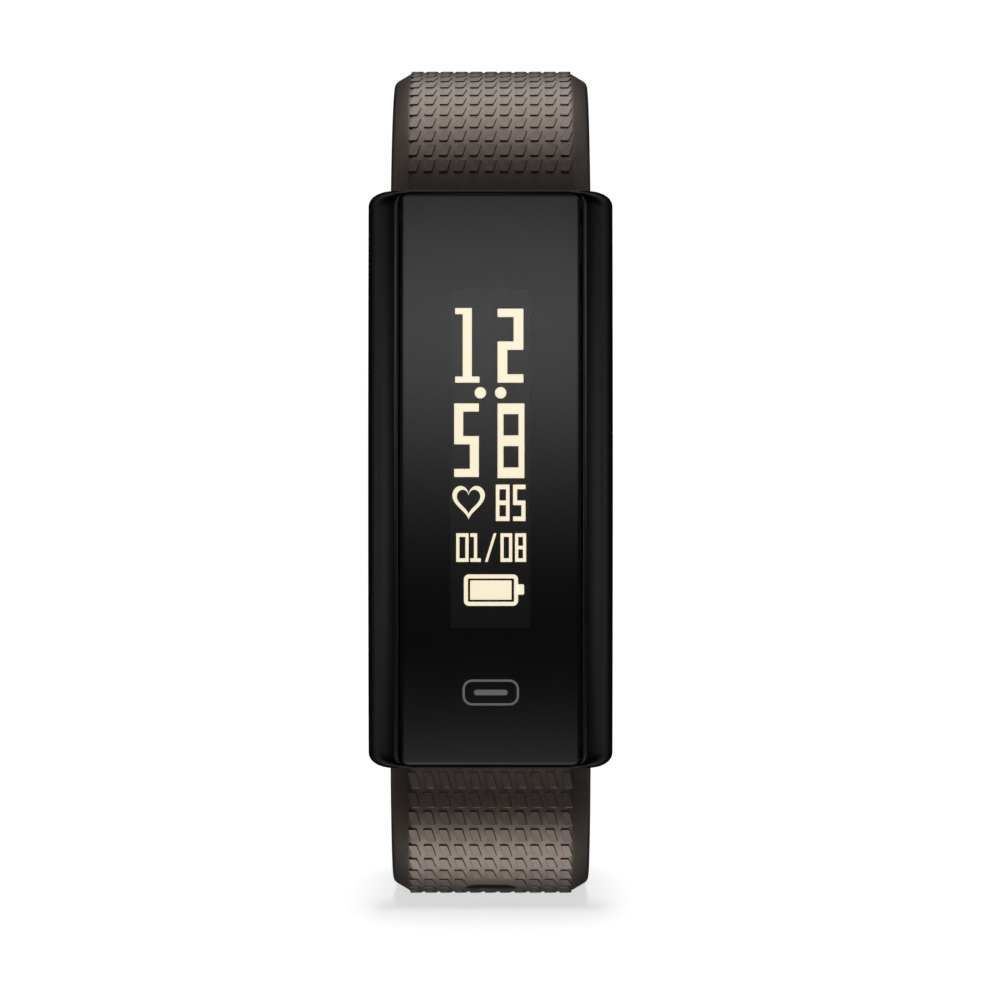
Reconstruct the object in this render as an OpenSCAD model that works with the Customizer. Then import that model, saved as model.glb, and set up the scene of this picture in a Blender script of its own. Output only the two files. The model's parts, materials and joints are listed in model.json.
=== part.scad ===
// Fitness tracker band, unfastened, standing on the lower strap.
// +Z runs up the wrist, the display faces -Y, +X is to the viewer's right.
// The origin is the centre of the sensor window's flat face, which rests on the wrist.

/* [Case] */
// Width of the case over both cheeks
case_w = 19.6; // [19:0.1:26]
// Length of the case along the wrist
case_len = 46.3; // [45:0.1:60]
// Depth of the case from its back to the crown of its front
case_depth = 10.4; // [10:0.1:14]
// Radius of the arched front along the case
front_r = 160; // [120:5:400]
// Radius of the rounded cheeks beside the lens
cheek_r = 2.6; // [1.5:0.1:3.2]
// Radius of the four corners seen from the front
corner_r = 1.5; // [0.5:0.1:2.4]
// Radius of the lug ends seen from the side
lug_r = 2.6; // [1.5:0.1:2.8]
// Radius of the long back edges
back_edge_r = 1.0; // [0.4:0.1:1.2]
// Thickness of the side walls around the inside
side_wall = 2.3; // [2.1:0.1:2.6]
// Distance from the case's end to the spring bar's axis
bar_inset = 2.95; // [2.8:0.05:3.6]
// Depth of the spring bar's axis behind the front crown
bar_depth = 6.0; // [5.9:0.1:6.6]
// Wall between the strap pocket and the inside
pocket_wall = 1.55; // [1.4:0.05:2.5]
// Gap between a strap and the case
strap_gap = 0.12; // [0.1:0.02:0.3]

/* [Lens and display] */
// Width of the lens
lens_w = 14.4; // [13.4:0.1:14.6]
// Rim of case left at each end of the lens
lens_rim = 0.38; // [0.3:0.02:0.8]
// Corner radius of the lens
lens_corner_r = 0.7; // [0.4:0.1:1.2]
// Thickness of the lens at its crown
lens_t = 2.3; // [2.2:0.05:3]
// Gap around the lens
lens_gap = 0.05; // [0.03:0.01:0.1]
// Thickness of the adhesive under the lens
adhesive_t = 0.15; // [0.1:0.05:0.3]
// Thickness of the shelf that carries the lens
shelf_t = 1.0; // [0.8:0.1:1.2]
// Width of the display panel
display_w = 11.5; // [10:0.1:12]
// Length of the display panel
display_len = 28; // [24:0.1:28.2]
// Thickness of the display panel
display_t = 1.5; // [1.2:0.1:1.6]
// Height of the display panel's middle over the case's middle
display_z = 2.3; // [1:0.1:2.4]
// Height of the touch key's middle under the case's middle
key_drop = 17.0; // [16:0.1:17.5]
// Width of the touch electrode
key_w = 6; // [4:0.1:7]
// Length of the touch electrode
key_len = 4; // [3:0.1:5]

/* [Inside] */
// Thickness of the main board
board_t = 0.8; // [0.6:0.1:0.9]
// Thickness of the foam behind the display
foam_t = 0.3; // [0.2:0.05:0.4]
// Width of the battery
battery_w = 12.4; // [10:0.1:13]
// Length of the battery
battery_len = 18.4; // [14:0.1:18.8]
// Radius of the vibration motor's can
motor_r = 3.5; // [3:0.1:3.6]
// Height of the vibration motor's can
motor_h = 2.7; // [2:0.1:3]
// Thickness of the rear cover
cover_t = 1.2; // [1:0.05:1.4]
// Thickness of the cover seal
seal_t = 0.4; // [0.3:0.05:0.6]
// Gap around the rear cover
cover_gap = 0.08; // [0.05:0.01:0.15]
// Radius of the cover screws' thread
screw_r = 0.5; // [0.4:0.05:0.6]
// Radius of the cover screws' heads
screw_head_r = 0.9; // [0.8:0.05:1]
// Radius of the sensor window
window_r = 5.0; // [4:0.1:5.2]
// Height of the sensor window over the rear cover
window_proud = 0.9; // [0.5:0.05:1.2]
// Radius of the charge contacts
contact_r = 1.0; // [0.7:0.05:1.2]
// Distance between the charge contacts
contact_pitch = 5.08; // [4:0.1:6]

/* [Spring bars] */
// Outer radius of a spring bar's tube
bar_r = 0.75; // [0.65:0.01:0.9]
// Radius of the tips where they enter the lugs
tip_r = 0.38; // [0.3:0.01:0.4]
// Length of a tip inside its lug
tip_seat = 1.0; // [0.8:0.05:1.1]
// Running clearance of every pin and bar, on the radius
run_gap = 0.05; // [0.03:0.01:0.08]

/* [Straps] */
// Width of the straps
strap_w = 16.2; // [14:0.1:16.8]
// Thickness of the straps
strap_t = 2.3; // [1.9:0.05:2.8]
// Width of the straps' flat middle
strap_flat_w = 13.1; // [11:0.1:13.4]
// Depth of the bevels beside the flat middle
bevel_depth = 1.0; // [0.6:0.1:1.2]
// Radius of the strap's end around the spring bar
knuckle_r = 2.0; // [1.8:0.05:2.1]
// Straight length from the spring bar to the first bend
lead_len = 3.8; // [3:0.1:8]
// Angle at which the upper strap leans back as it leaves the case
upper_lean = 35; // [20:1:45]
// Radius of the upper strap's first bend, at mid thickness
upper_near_r = 23.9; // [16:0.1:30]
// Straight length after the upper strap's first bend
upper_flat = 1; // [0.5:0.5:10]
// Radius of the upper strap's second bend
upper_r = 16; // [12:0.5:24]
// Straight end of the upper strap, where the keeper slides
upper_end = 20.3; // [18:0.1:28]
// Angle at which the lower strap leans back as it leaves the case
lower_lean = 19; // [12:1:30]
// Radius of the lower strap's first bend, at mid thickness
lower_near_r = 14; // [11:0.1:24]
// Straight length after the lower strap's first bend
lower_flat = 12; // [10:0.5:20]
// Radius of the lower strap's second bend
lower_r = 27.65; // [26:0.5:40]
// Straight end of the lower strap
lower_end = 19.5; // [12:0.5:24]
// Radius of the lower strap's rounded tip
tip_plan_r = 6; // [4:0.5:7]
// Width of an adjustment hole
hole_w = 4.0; // [3.6:0.1:5]
// Length of an adjustment hole along the strap
hole_len = 2.0; // [1.6:0.1:2.6]
// Distance along the strap from the spring bar to the first hole
hole_start = 17.2; // [14:0.1:26]
// Distance between adjustment holes
hole_pitch = 7; // [5:0.5:9]
// Number of adjustment holes
hole_count = 10; // [5:1:10]

/* [Buckle and keeper] */
// Radius of the buckle's bar
buckle_bar_r = 0.8; // [0.6:0.05:0.95]
// Radius of the strap's end around the buckle's bar
end_r = 1.7; // [1.5:0.05:1.9]
// Gap between the buckle's sides and the strap
buckle_gap = 0.2; // [0.15:0.05:0.4]
// Width of the buckle's side rails
rail_w = 1.5; // [1.2:0.1:2]
// Thickness of the buckle's frame
frame_t = 2.2; // [1.8:0.1:2.6]
// Distance from the bar to the far edge of the frame
frame_reach = 9.0; // [8:0.1:12]
// Width of the crossbar along the strap
crossbar_w = 1.8; // [1.2:0.1:2.2]
// Width of the tang
tang_w = 3.0; // [2:0.1:3.4]
// Thickness of the tang
tang_t = 1.05; // [0.8:0.05:1.3]
// Gap around the tang
tang_gap = 0.2; // [0.1:0.05:0.3]
// Wall of the keeper loop
keeper_wall = 1.0; // [0.8:0.1:1.4]
// Width of the keeper along the strap
keeper_len = 5; // [4:0.1:6]
// Gap between the keeper and the strap
keeper_gap = 0.25; // [0.15:0.05:0.4]
// Distance from the buckle's bar to the keeper
keeper_rest = 6.4; // [5:0.1:7]

/* [Hidden] */

$fn = 96;
// Longer than any part of the band, for cuts that go right through
far = 60;
// Overlap by which a cut starts ahead of the face that it goes through
ahead = 1;

// Levels through the case, from its front to its back
back_y = -window_proud;
front_y = back_y - case_depth;
lens_back_y = front_y + lens_t;
shelf_y = lens_back_y + adhesive_t;
shelf_back_y = shelf_y + shelf_t;
display_back_y = shelf_y + display_t;
board_y = display_back_y + foam_t;
board_back_y = board_y + board_t;
cover_in_y = back_y - cover_t;
ledge_y = cover_in_y - seal_t;
window_seat_y = back_y - cover_t / 3;
sensor_board_t = 0.6;
sensor_gap = 0.2;
sensor_back_y = cover_in_y - sensor_gap;
sensor_front_y = sensor_back_y - sensor_board_t;
pad_t = 0.15;
swell_gap = 0.1;
battery_y = board_back_y + pad_t;
battery_t = sensor_front_y - swell_gap - battery_y;

// Fits of the lens, the display and the touch key
seat_gap = 0.1;
lens_land = 0.4;
adhesive_inset = lens_land + lens_gap;
foam_inset = 0.6;
foam_band = 1.2;
ribbon_t = 0.12;
ribbon_w = 7;
ribbon_drop = 1.0;
ribbon_foot = 1.4;
coil_r = 0.9;
coil_wall = 0.35;
coil_gap = 0.15;

// Inside of the case
hinge_z = case_len / 2 - bar_inset;
hinge_y = front_y + bar_depth;
pocket_z = hinge_z - knuckle_r - strap_gap;
pocket_w = strap_w + 2 * strap_gap;
cover_half_len = pocket_z - pocket_wall / 2;
cavity_half_len = pocket_z - pocket_wall;
cavity_half_w = case_w / 2 - side_wall;
ledge = 0.85;
cover_half_w = cavity_half_w + ledge;
screw_x = cavity_half_w - 0.2;
screw_z = cavity_half_len - 1.2;
boss_wall = 0.45;
boss_r = screw_head_r + boss_wall;
head_t = 0.5;
head_sink = 0.1;
head_gap = 0.12;
slot_w = 0.25;
slot_len = 1.1;
slot_deep = 0.2;
thread_len = 2;
board_gap = 0.15;
motor_gap = 0.15;
motor_wall = 0.25;
pin_r = 0.3;
weight_gap = 0.25;
weight_cut = 0.65;
motor_z = cavity_half_len - motor_r - motor_gap;
contact_rise = 4.2;
contact_z = -cavity_half_len + contact_rise;
coil_z = -cavity_half_len + coil_r + 2 * coil_gap;

// Rear cover and what it carries
window_gap = 0.03;
window_land = 0.6;
collar_w = 1.2;
collar_sink = 0.35;
contact_gap = 0.02;
contact_flange = 0.4;
contact_foot = 0.3;
contact_proud = 0.05;
shield_gap = 0.05;
shield_wall = 0.6;
shield_bar = 0.8;
led_size = [1.4, 0.5, 1.0];
led_x = 1.4;
led_z = 1.6;
diode_size = [2.6, 0.5, 1.7];
diode_z = -1.75;

// Spring bar lengths along X
lug_in = pocket_w / 2;
tube_end_gap = 0.15;
tube_half = strap_w / 2 - tube_end_gap;
tip_len = 3;
tip_in = tube_half - tip_len;
tip_travel = tip_seat + (lug_in - tube_half);
seat_end_gap = 0.1;
tube_wall = 0.255;
bar_bore = bar_r - tube_wall;
coil_end_gap = 0.1;
coil_wire = 0.15;

// Buckle position
loop_back = lead_len * sin(upper_lean) + upper_near_r * cos(upper_lean) + upper_flat + upper_r;
loop_rise = lead_len * cos(upper_lean) + upper_near_r * (1 - sin(upper_lean)) - upper_r;
buckle_y = hinge_y + loop_back;
buckle_z = hinge_z + loop_rise - upper_end;
rail_in = strap_w / 2 + buckle_gap;
rail_out = rail_in + rail_w;
bar_seat = 0.4;
tang_sink = 0.25;
tang_over = 0.2;
tang_under = end_r - tang_t - tang_sink;
notch_top = end_r + 0.5;

// Strap paths: each step is [turn in degrees, radius] or [0, straight length]
upper_path = [[0, lead_len], [90 - upper_lean, upper_near_r], [0, upper_flat], [90, upper_r],
  [0, upper_end]];
lower_path = [[0, lead_len], [90 - lower_lean, lower_near_r], [0, lower_flat], [90, lower_r],
  [0, lower_end]];

// Cross-section of a strap: x across, outer side towards -y
edge_round = 0.3;
section = [
  [-strap_w / 2 + edge_round, strap_t / 2], [-strap_w / 2, strap_t / 2 - edge_round],
  [-strap_w / 2, bevel_depth - strap_t / 2], [-strap_flat_w / 2, -strap_t / 2],
  [strap_flat_w / 2, -strap_t / 2], [strap_w / 2, bevel_depth - strap_t / 2],
  [strap_w / 2, strap_t / 2 - edge_round], [strap_w / 2 - edge_round, strap_t / 2]];

// ---- Helpers ----

// Box between two corners
module span(a, b) translate(a) cube(b - a);

// Rectangle with round corners, centred
module round_rect(w, h, r) {
  square([w - 2 * r, h], center = true);
  square([w, h - 2 * r], center = true);
  for (sx = [-1, 1], sy = [-1, 1]) translate([sx * (w / 2 - r), sy * (h / 2 - r)]) circle(r, $fn = 64);
}

// Rectangle centred on its origin
module rect(w, h) square([w, h], center = true);

// Two mirrored places along X, and the four corners at a distance in X and Z
module both_sides() for (sx = [-1, 1]) mirror([sx < 0 ? 1 : 0, 0, 0]) children();
module four_corners(x, z) for (sx = [-1, 1], sz = [-1, 1]) translate([sx * x, 0, sz * z]) children();

// Plate lying in the X-Z plane between two depths
module plate(y0, y1) translate([0, y1, 0]) rotate([90, 0, 0]) linear_extrude(y1 - y0) children();

// Round rod along Y
module rod_y(r, y0, y1, x = 0, z = 0) translate([x, y1, z]) rotate([90, 0, 0]) cylinder(r = r, h = y1 - y0);

// Round rod along X
module rod_x(r, x0, x1) translate([x0, 0, 0]) rotate([0, 90, 0]) cylinder(r = r, h = x1 - x0);

// Block whose front follows the arched front of the case; its section is drawn as [distance from
// the front crown, x]
module arched(half_len) {
  half_angle = asin(half_len / front_r) + 1;
  translate([0, front_y + front_r, 0]) rotate([90, 0, -90])
    rotate_extrude(angle = 2 * half_angle, start = -half_angle, $fn = 1440) children();
}

module bend(r, a) translate([0, r, 0]) rotate([-a, 0, 0]) translate([0, -r, 0]) children();

function step_len(step) = step[0] == 0 ? step[1] : step[1] * step[0] * PI / 180;

// Stations [y, z, heading] along a path, a few degrees apart on its bends
bend_step = 4;

function stations(path, y, z, h, i = 0) =
  i == len(path) ? [[y, z, h]] :
  let (turn = path[i][0], size = path[i][1], count = turn == 0 ? 1 : ceil(turn / bend_step))
  concat(
    [for (k = [0 : count - 1]) turn == 0 ? [y, z, h] : place(y, z, h, size, turn * k / count)],
    turn == 0 ? stations(path, y + size * sin(h), z + size * cos(h), h, i + 1) :
      let (next = place(y, z, h, size, turn)) stations(path, next[0], next[1], next[2], i + 1));

// Where a bend of radius r leads after it has turned by a
function place(y, z, h, r, a) = [y + r * (cos(h) - cos(h + a)), z + r * (sin(h + a) - sin(h)), h + a];

// Strap solid along a path that starts at the origin, leaning back
module strap_run(path, lean) {
  stops = stations(path, 0, 0, lean);
  n = len(section);
  last = len(stops) - 1;
  points = [for (s = stops, p = section) [p[0], s[0] + p[1] * cos(s[2]), s[1] - p[1] * sin(s[2])]];
  sides = [for (k = [0 : last - 1], j = [0 : n - 1])
    [k * n + j, (k + 1) * n + j, (k + 1) * n + (j + 1) % n, k * n + (j + 1) % n]];
  start_cap = [for (j = [0 : n - 1]) j];
  end_cap = [for (j = [n - 1 : -1 : 0]) last * n + j];
  polyhedron(points, concat([start_cap], sides, [end_cap]));
}

// Places its children at a distance along a path, heading along it
module along(path, s, i = 0) {
  here = step_len(path[i]);
  if (s <= here || i == len(path) - 1) {
    if (path[i][0] == 0) translate([0, 0, s]) children();
    else bend(path[i][1], path[i][0] * s / here) children();
  } else if (path[i][0] == 0) translate([0, 0, here]) along(path, s - here, i + 1) children();
  else bend(path[i][1], path[i][0]) along(path, s - here, i + 1) children();
}

function path_len(path, i = 0) = i == len(path) ? 0 : step_len(path[i]) + path_len(path, i + 1);

// Puts a strap at the upper spring bar; side -1 gives the lower one
module at_bar(side) {
  if (side > 0) translate([0, hinge_y, hinge_z]) children();
  else mirror([0, 0, 1]) translate([0, hinge_y, hinge_z]) children();
}

// ---- Case ----

// Outer form of the case: arched front, rounded cheeks, rounded lug ends and corners
module case_form() {
  intersection() {
    arched(case_len / 2) translate([front_r - far / 2, 0]) round_rect(far, case_w, cheek_r);
    rotate([0, 90, 0]) linear_extrude(far, center = true)
      translate([0, back_y - far / 2]) round_rect(case_len, far, lug_r);
    plate(-far, far) round_rect(case_w, case_len, corner_r);
    linear_extrude(far, center = true)
      translate([0, back_y - far / 2]) round_rect(case_w, far, back_edge_r);
  }
}

// Hole in the shelf that the display panel sits in
module display_outline(gap) {
  translate([0, display_z]) rect(display_w + 2 * gap, display_len + 2 * gap);
}

module key_outline(gap) translate([0, -key_drop]) rect(key_w + 2 * gap, key_len + 2 * gap);

module lens_outline(gap) {
  round_rect(lens_w + 2 * gap, case_len - 2 * lens_rim + 2 * gap, lens_corner_r + gap);
}

// The inside of the case, seen from the front, with a boss left in each corner
module cavity_outline(gap = 0) {
  difference() {
    rect(2 * (cavity_half_w - gap), 2 * (cavity_half_len - gap));
    for (sx = [-1, 1], sz = [-1, 1]) translate([sx * screw_x, sz * screw_z]) circle(boss_r + gap);
  }
}

module front_case() color([0.03, 0.03, 0.035]) difference() {
  case_form();
  plate(-far, lens_back_y) lens_outline(lens_gap);
  plate(lens_back_y - ahead, shelf_y) lens_outline(-lens_land);
  plate(shelf_y - ahead, shelf_back_y + ahead) display_outline(seat_gap);
  rod_y(coil_r + coil_gap, shelf_y - ahead, shelf_back_y + ahead, z = coil_z);
  plate(shelf_back_y, ledge_y + ahead) cavity_outline();
  plate(ledge_y, far) rect(2 * cover_half_w, 2 * cover_half_len);
  four_corners(screw_x, screw_z) rod_y(screw_r, ledge_y - thread_len - seat_gap, ledge_y + ahead);
  for (side = [1, -1]) at_bar(side) {
    pocket_r = knuckle_r + strap_gap;
    span([-lug_in, -pocket_r, -pocket_r], [lug_in, far, far]);
    tip_end = lug_in + tip_seat + seat_end_gap;
    rod_x(tip_r + run_gap, -tip_end, tip_end);
  }
}

module lens() color([0.02, 0.02, 0.025, 0.9]) intersection() {
  arched(case_len / 2) translate([front_r - far / 2, 0]) rect(far, case_w);
  plate(-far, lens_back_y) lens_outline(0);
}

module lens_adhesive() color([0.1, 0.1, 0.1]) plate(lens_back_y, shelf_y) difference() {
  lens_outline(-adhesive_inset);
  display_outline(seat_gap);
  key_outline(seat_gap);
}

module display_panel() color([0.05, 0.05, 0.06]) plate(shelf_y, display_back_y) display_outline(0);

module display_foam() color([0.15, 0.15, 0.15]) plate(display_back_y, board_y) difference() {
  display_outline(-foam_inset);
  display_outline(-foam_inset - foam_band);
}

// Ribbon from the display's lower edge down to the main board
module display_flex() color([0.75, 0.45, 0.15]) {
  top = display_len / 2 - display_z;
  low = top + ribbon_drop;
  foot = low + ribbon_foot;
  top_y = shelf_back_y + ribbon_t;
  rotate([0, 90, 0]) linear_extrude(ribbon_w, center = true) polygon([
    [top, top_y], [top, top_y + ribbon_t], [low, top_y + ribbon_t], [low, board_y],
    [foot, board_y], [foot, board_y - ribbon_t], [low + ribbon_t, board_y - ribbon_t],
    [low + ribbon_t, top_y]]);
}

module touch_electrode() color([0.8, 0.6, 0.3]) plate(lens_back_y, shelf_y) key_outline(0);

// Coil that carries the touch key's signal from the electrode to the board
module touch_spring() color([0.85, 0.7, 0.35]) difference() {
  rod_y(coil_r, shelf_y, board_y, z = coil_z);
  rod_y(coil_r - coil_wall, shelf_y - ahead, board_y + ahead, z = coil_z);
}

module main_board() color([0.05, 0.3, 0.15]) plate(board_y, board_back_y) cavity_outline(board_gap);

// Chips stand on the rear of the board, below the battery
chip_top = -battery_len / 2 - 0.5;
chip_bottom = -screw_z + boss_r + board_gap + 0.1;
can_x = -1.5;
can_w = 6.5;
can_t = 0.2;
can_h = 1.2;
processor_x = -2.3;
processor_w = 2.8;
processor_rise = 0.5;
processor_len = 2.6;
memory_x = 3.1;
sensor_x = 5.6;
chip_w = 2;
antenna_w = 5;
antenna_len = 1.6;
antenna_edge = 0.3;

// Block on the rear of the board, centred on x and standing on z
module on_board(x, z, w, len, height)
  span([x - w / 2, board_back_y, z], [x + w / 2, board_back_y + height, z + len]);

module shield_can() color([0.75, 0.75, 0.78]) difference() {
  can_len = chip_top - chip_bottom;
  on_board(can_x, chip_bottom, can_w, can_len, can_h);
  on_board(can_x, chip_bottom + can_t, can_w - 2 * can_t, can_len - 2 * can_t, can_h - can_t);
}

module processor_chip() color([0.08, 0.08, 0.08])
  on_board(processor_x, chip_bottom + processor_rise, processor_w, processor_len, 0.7);

module memory_chip() color([0.1, 0.1, 0.1]) on_board(memory_x, chip_bottom, chip_w, chip_w, 0.6);

module motion_sensor() color([0.1, 0.1, 0.12]) on_board(sensor_x, chip_top - chip_w, chip_w, chip_w, 0.9);

module antenna() color([0.9, 0.9, 0.85])
  on_board(0, -cavity_half_len + antenna_edge, antenna_w, antenna_len, 0.6);

module battery() color([0.7, 0.72, 0.75]) plate(battery_y, battery_y + battery_t)
  round_rect(battery_w, battery_len, 0.8);

module battery_pad() color([0.85, 0.85, 0.8]) plate(board_back_y, battery_y)
  rect(battery_w - 2, battery_len - 3);

// Vibration motor: a weight that is off the centre turns on a pin inside a sealed can
module motor_can() color([0.8, 0.8, 0.82]) {
  difference() {
    rod_y(motor_r, board_back_y, board_back_y + motor_h, z = motor_z);
    rod_y(motor_r - motor_wall, board_back_y + motor_wall, board_back_y + motor_h - motor_wall, z = motor_z);
  }
  rod_y(pin_r, board_back_y + motor_wall / 2, board_back_y + motor_h - motor_wall / 2, z = motor_z);
}

module motor_rotor() color([0.55, 0.5, 0.4]) difference() {
  play = motor_wall + weight_gap;
  rod_y(motor_r - play, board_back_y + play, board_back_y + motor_h - play, z = motor_z);
  rod_y(pin_r + run_gap, -far, far, z = motor_z);
  span([-far, -far, motor_z + weight_cut], [far, far, far]);
}

module rear_cover() color([0.06, 0.06, 0.065]) difference() {
  union() {
    plate(cover_in_y, back_y) rect(2 * (cover_half_w - cover_gap), 2 * (cover_half_len - cover_gap));
    rod_y(window_r + collar_w, cover_in_y, back_y + window_proud - collar_sink);
  }
  rod_y(window_r - window_land, -far, far);
  rod_y(window_r + window_gap, window_seat_y, far);
  four_corners(screw_x, screw_z) {
    rod_y(screw_r + seat_gap, -far, far);
    rod_y(screw_head_r + head_gap, back_y - head_t - head_sink, far);
  }
  both_sides() rod_y(contact_r + contact_gap, -far, far, x = contact_pitch / 2, z = contact_z);
}

module cover_seal() color([0.2, 0.2, 0.22]) plate(ledge_y, cover_in_y) difference() {
  rect(2 * (cover_half_w - seat_gap), 2 * (cover_half_len - seat_gap));
  cavity_outline(-seat_gap);
  for (sx = [-1, 1], sz = [-1, 1]) translate([sx * screw_x, sz * screw_z]) circle(screw_r + seat_gap);
}

module cover_screws() color([0.6, 0.6, 0.62]) four_corners(screw_x, screw_z) difference() {
  union() {
    rod_y(screw_head_r, back_y - head_t - head_sink, back_y - head_sink);
    rod_y(screw_r, ledge_y - thread_len, back_y - head_t);
  }
  for (turn = [0, 90]) translate([0, back_y - head_sink, 0]) rotate([0, turn, 0])
    cube([slot_len, 2 * slot_deep, slot_w], center = true);
}

module sensor_window() color([0.1, 0.1, 0.12, 0.6]) rod_y(window_r, window_seat_y, 0);

// Black ring with a bar across it, so the lamps don't shine straight into the photodiode
module light_shield() color([0.02, 0.02, 0.02]) difference() {
  shield_r = window_r - window_land - shield_gap;
  rod_y(shield_r, sensor_back_y, window_seat_y - shield_gap);
  for (side = [-1, 1]) intersection() {
    rod_y(shield_r - shield_wall, -far, far);
    span([-far, -far, side > 0 ? shield_bar / 2 : -far], [far, far, side > 0 ? far : -shield_bar / 2]);
  }
}

module sensor_board() color([0.05, 0.25, 0.3]) plate(sensor_front_y, sensor_back_y)
  round_rect(2 * window_r + 1, 2 * window_r + 1, 1);

// Block on the back of the sensor board, centred on x and z
module on_sensor(size, x, z) translate([x - size[0] / 2, sensor_back_y, z - size[2] / 2]) cube(size);

module sensor_leds() color([0.3, 0.9, 0.4]) both_sides() on_sensor(led_size, led_x, led_z);

module photodiode() color([0.15, 0.15, 0.2]) on_sensor(diode_size, 0, diode_z);

module charge_contacts() color([0.85, 0.7, 0.35]) both_sides()
  translate([contact_pitch / 2, 0, contact_z]) {
    rod_y(contact_r, cover_in_y - contact_foot, back_y + contact_proud);
    rod_y(contact_r + contact_flange, cover_in_y - 2 * contact_foot, cover_in_y);
  }

// ---- Spring bars ----

module bar_tube(side) at_bar(side) difference() {
  rod_x(bar_r, -tube_half, tube_half);
  rod_x(bar_bore, -far, far);
}

// Drawn at the length it has when both tips are pushed in
module bar_spring(side) at_bar(side) difference() {
  half = tip_in - tip_travel - coil_end_gap;
  rod_x(bar_bore - run_gap, -half, half);
  rod_x(bar_bore - run_gap - coil_wire, -far, far);
}

module bar_tip(side, hand) at_bar(side) mirror([hand < 0 ? 1 : 0, 0, 0]) {
  rod_x(bar_bore - run_gap, tip_in, tube_half);
  rod_x(tip_r, tube_half, lug_in + tip_seat);
}

module upper_bar_tube() color([0.75, 0.75, 0.77]) bar_tube(1);
module upper_bar_spring() color([0.6, 0.6, 0.6]) bar_spring(1);
module upper_bar_tip_left() color([0.8, 0.8, 0.8]) bar_tip(1, -1);
module upper_bar_tip_right() color([0.8, 0.8, 0.8]) bar_tip(1, 1);
module lower_bar_tube() color([0.75, 0.75, 0.77]) bar_tube(-1);
module lower_bar_spring() color([0.6, 0.6, 0.6]) bar_spring(-1);
module lower_bar_tip_left() color([0.8, 0.8, 0.8]) bar_tip(-1, -1);
module lower_bar_tip_right() color([0.8, 0.8, 0.8]) bar_tip(-1, 1);

// ---- Straps ----

module strap_knuckle() rod_x(knuckle_r, -strap_w / 2, strap_w / 2);

module upper_strap() color([0.28, 0.24, 0.22]) {
  difference() {
    union() {
      at_bar(1) {
        strap_knuckle();
        strap_run(upper_path, upper_lean);
      }
      translate([0, buckle_y, buckle_z]) rod_x(end_r, -strap_w / 2, strap_w / 2);
    }
    at_bar(1) rod_x(bar_r + run_gap, -far, far);
    translate([0, buckle_y, buckle_z]) {
      rod_x(buckle_bar_r + run_gap, -far, far);
      notch = tang_w / 2 + tang_gap;
      span([-notch, -far / 4, -far / 4], [notch, far / 4, notch_top]);
    }
  }
}

// Pill-shaped hole through a strap
module pill_hole() rotate([90, 0, 0]) linear_extrude(3 * strap_t, center = true)
  round_rect(hole_w, hole_len, hole_len / 2 - 0.001);

// What is cut from a strap's end to leave a round tip; it starts where the rounding starts
module tip_cut() rotate([90, 0, 0]) linear_extrude(3 * strap_t, center = true) difference() {
  translate([0, tip_plan_r]) rect(strap_w + 2 * ahead, 2 * tip_plan_r);
  translate([0, -ahead]) round_rect(strap_w, 2 * (tip_plan_r + ahead), tip_plan_r);
}

module lower_strap() color([0.28, 0.24, 0.22]) difference() {
  at_bar(-1) {
    strap_knuckle();
    strap_run(lower_path, lower_lean);
  }
  at_bar(-1) {
    rod_x(bar_r + run_gap, -far, far);
    rotate([-lower_lean, 0, 0]) {
      for (i = [0 : hole_count - 1]) along(lower_path, hole_start + i * hole_pitch) pill_hole();
      along(lower_path, path_len(lower_path) - tip_plan_r) tip_cut();
    }
  }
}

// ---- Buckle and keeper ----

module at_buckle() translate([0, buckle_y, buckle_z]) children();

module buckle_frame() color([0.2, 0.2, 0.21]) at_buckle() difference() {
  union() {
    both_sides() {
      rod_x(end_r, rail_in, rail_out);
      span([rail_in, -frame_t / 2, -frame_reach], [rail_out, frame_t / 2, 0]);
    }
    span([-rail_out, -frame_t / 2, -frame_reach], [rail_out, frame_t / 2, crossbar_w - frame_reach]);
  }
  rod_x(buckle_bar_r, bar_seat - rail_out, rail_out - bar_seat);
  rest_w = tang_w / 2 + tang_gap;
  span([-rest_w, tang_under - run_gap, -far], [rest_w, far, far]);
}

module buckle_bar() color([0.7, 0.7, 0.72]) at_buckle()
  rod_x(buckle_bar_r, bar_seat - rail_out, rail_out - bar_seat);

module buckle_tang() color([0.25, 0.25, 0.26]) at_buckle() difference() {
  union() {
    rod_x(end_r - tang_sink, -tang_w / 2, tang_w / 2);
    span([-tang_w / 2, tang_under, -frame_reach - tang_over], [tang_w / 2, tang_under + tang_t, 0]);
  }
  rod_x(buckle_bar_r + run_gap, -far, far);
}

module keeper() color([0.24, 0.2, 0.18]) {
  inner_w = strap_w + 2 * keeper_gap;
  inner_h = 2 * strap_t + 3 * keeper_gap;
  inner_round = 0.4;
  mid_y = buckle_y - strap_t / 2 - keeper_gap + inner_h / 2;
  translate([0, mid_y, buckle_z + keeper_rest]) linear_extrude(keeper_len) difference() {
    round_rect(inner_w + 2 * keeper_wall, inner_h + 2 * keeper_wall, keeper_wall + inner_round);
    round_rect(inner_w, inner_h, inner_round);
  }
}

front_case();
lens();
lens_adhesive();
display_panel();
display_foam();
display_flex();
touch_electrode();
touch_spring();
main_board();
shield_can();
processor_chip();
memory_chip();
motion_sensor();
antenna();
battery();
battery_pad();
motor_can();
motor_rotor();
rear_cover();
cover_seal();
cover_screws();
sensor_window();
light_shield();
sensor_board();
sensor_leds();
photodiode();
charge_contacts();
upper_bar_tube();
upper_bar_spring();
upper_bar_tip_left();
upper_bar_tip_right();
lower_bar_tube();
lower_bar_spring();
lower_bar_tip_left();
lower_bar_tip_right();
upper_strap();
lower_strap();
buckle_frame();
buckle_bar();
buckle_tang();
keeper();
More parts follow.
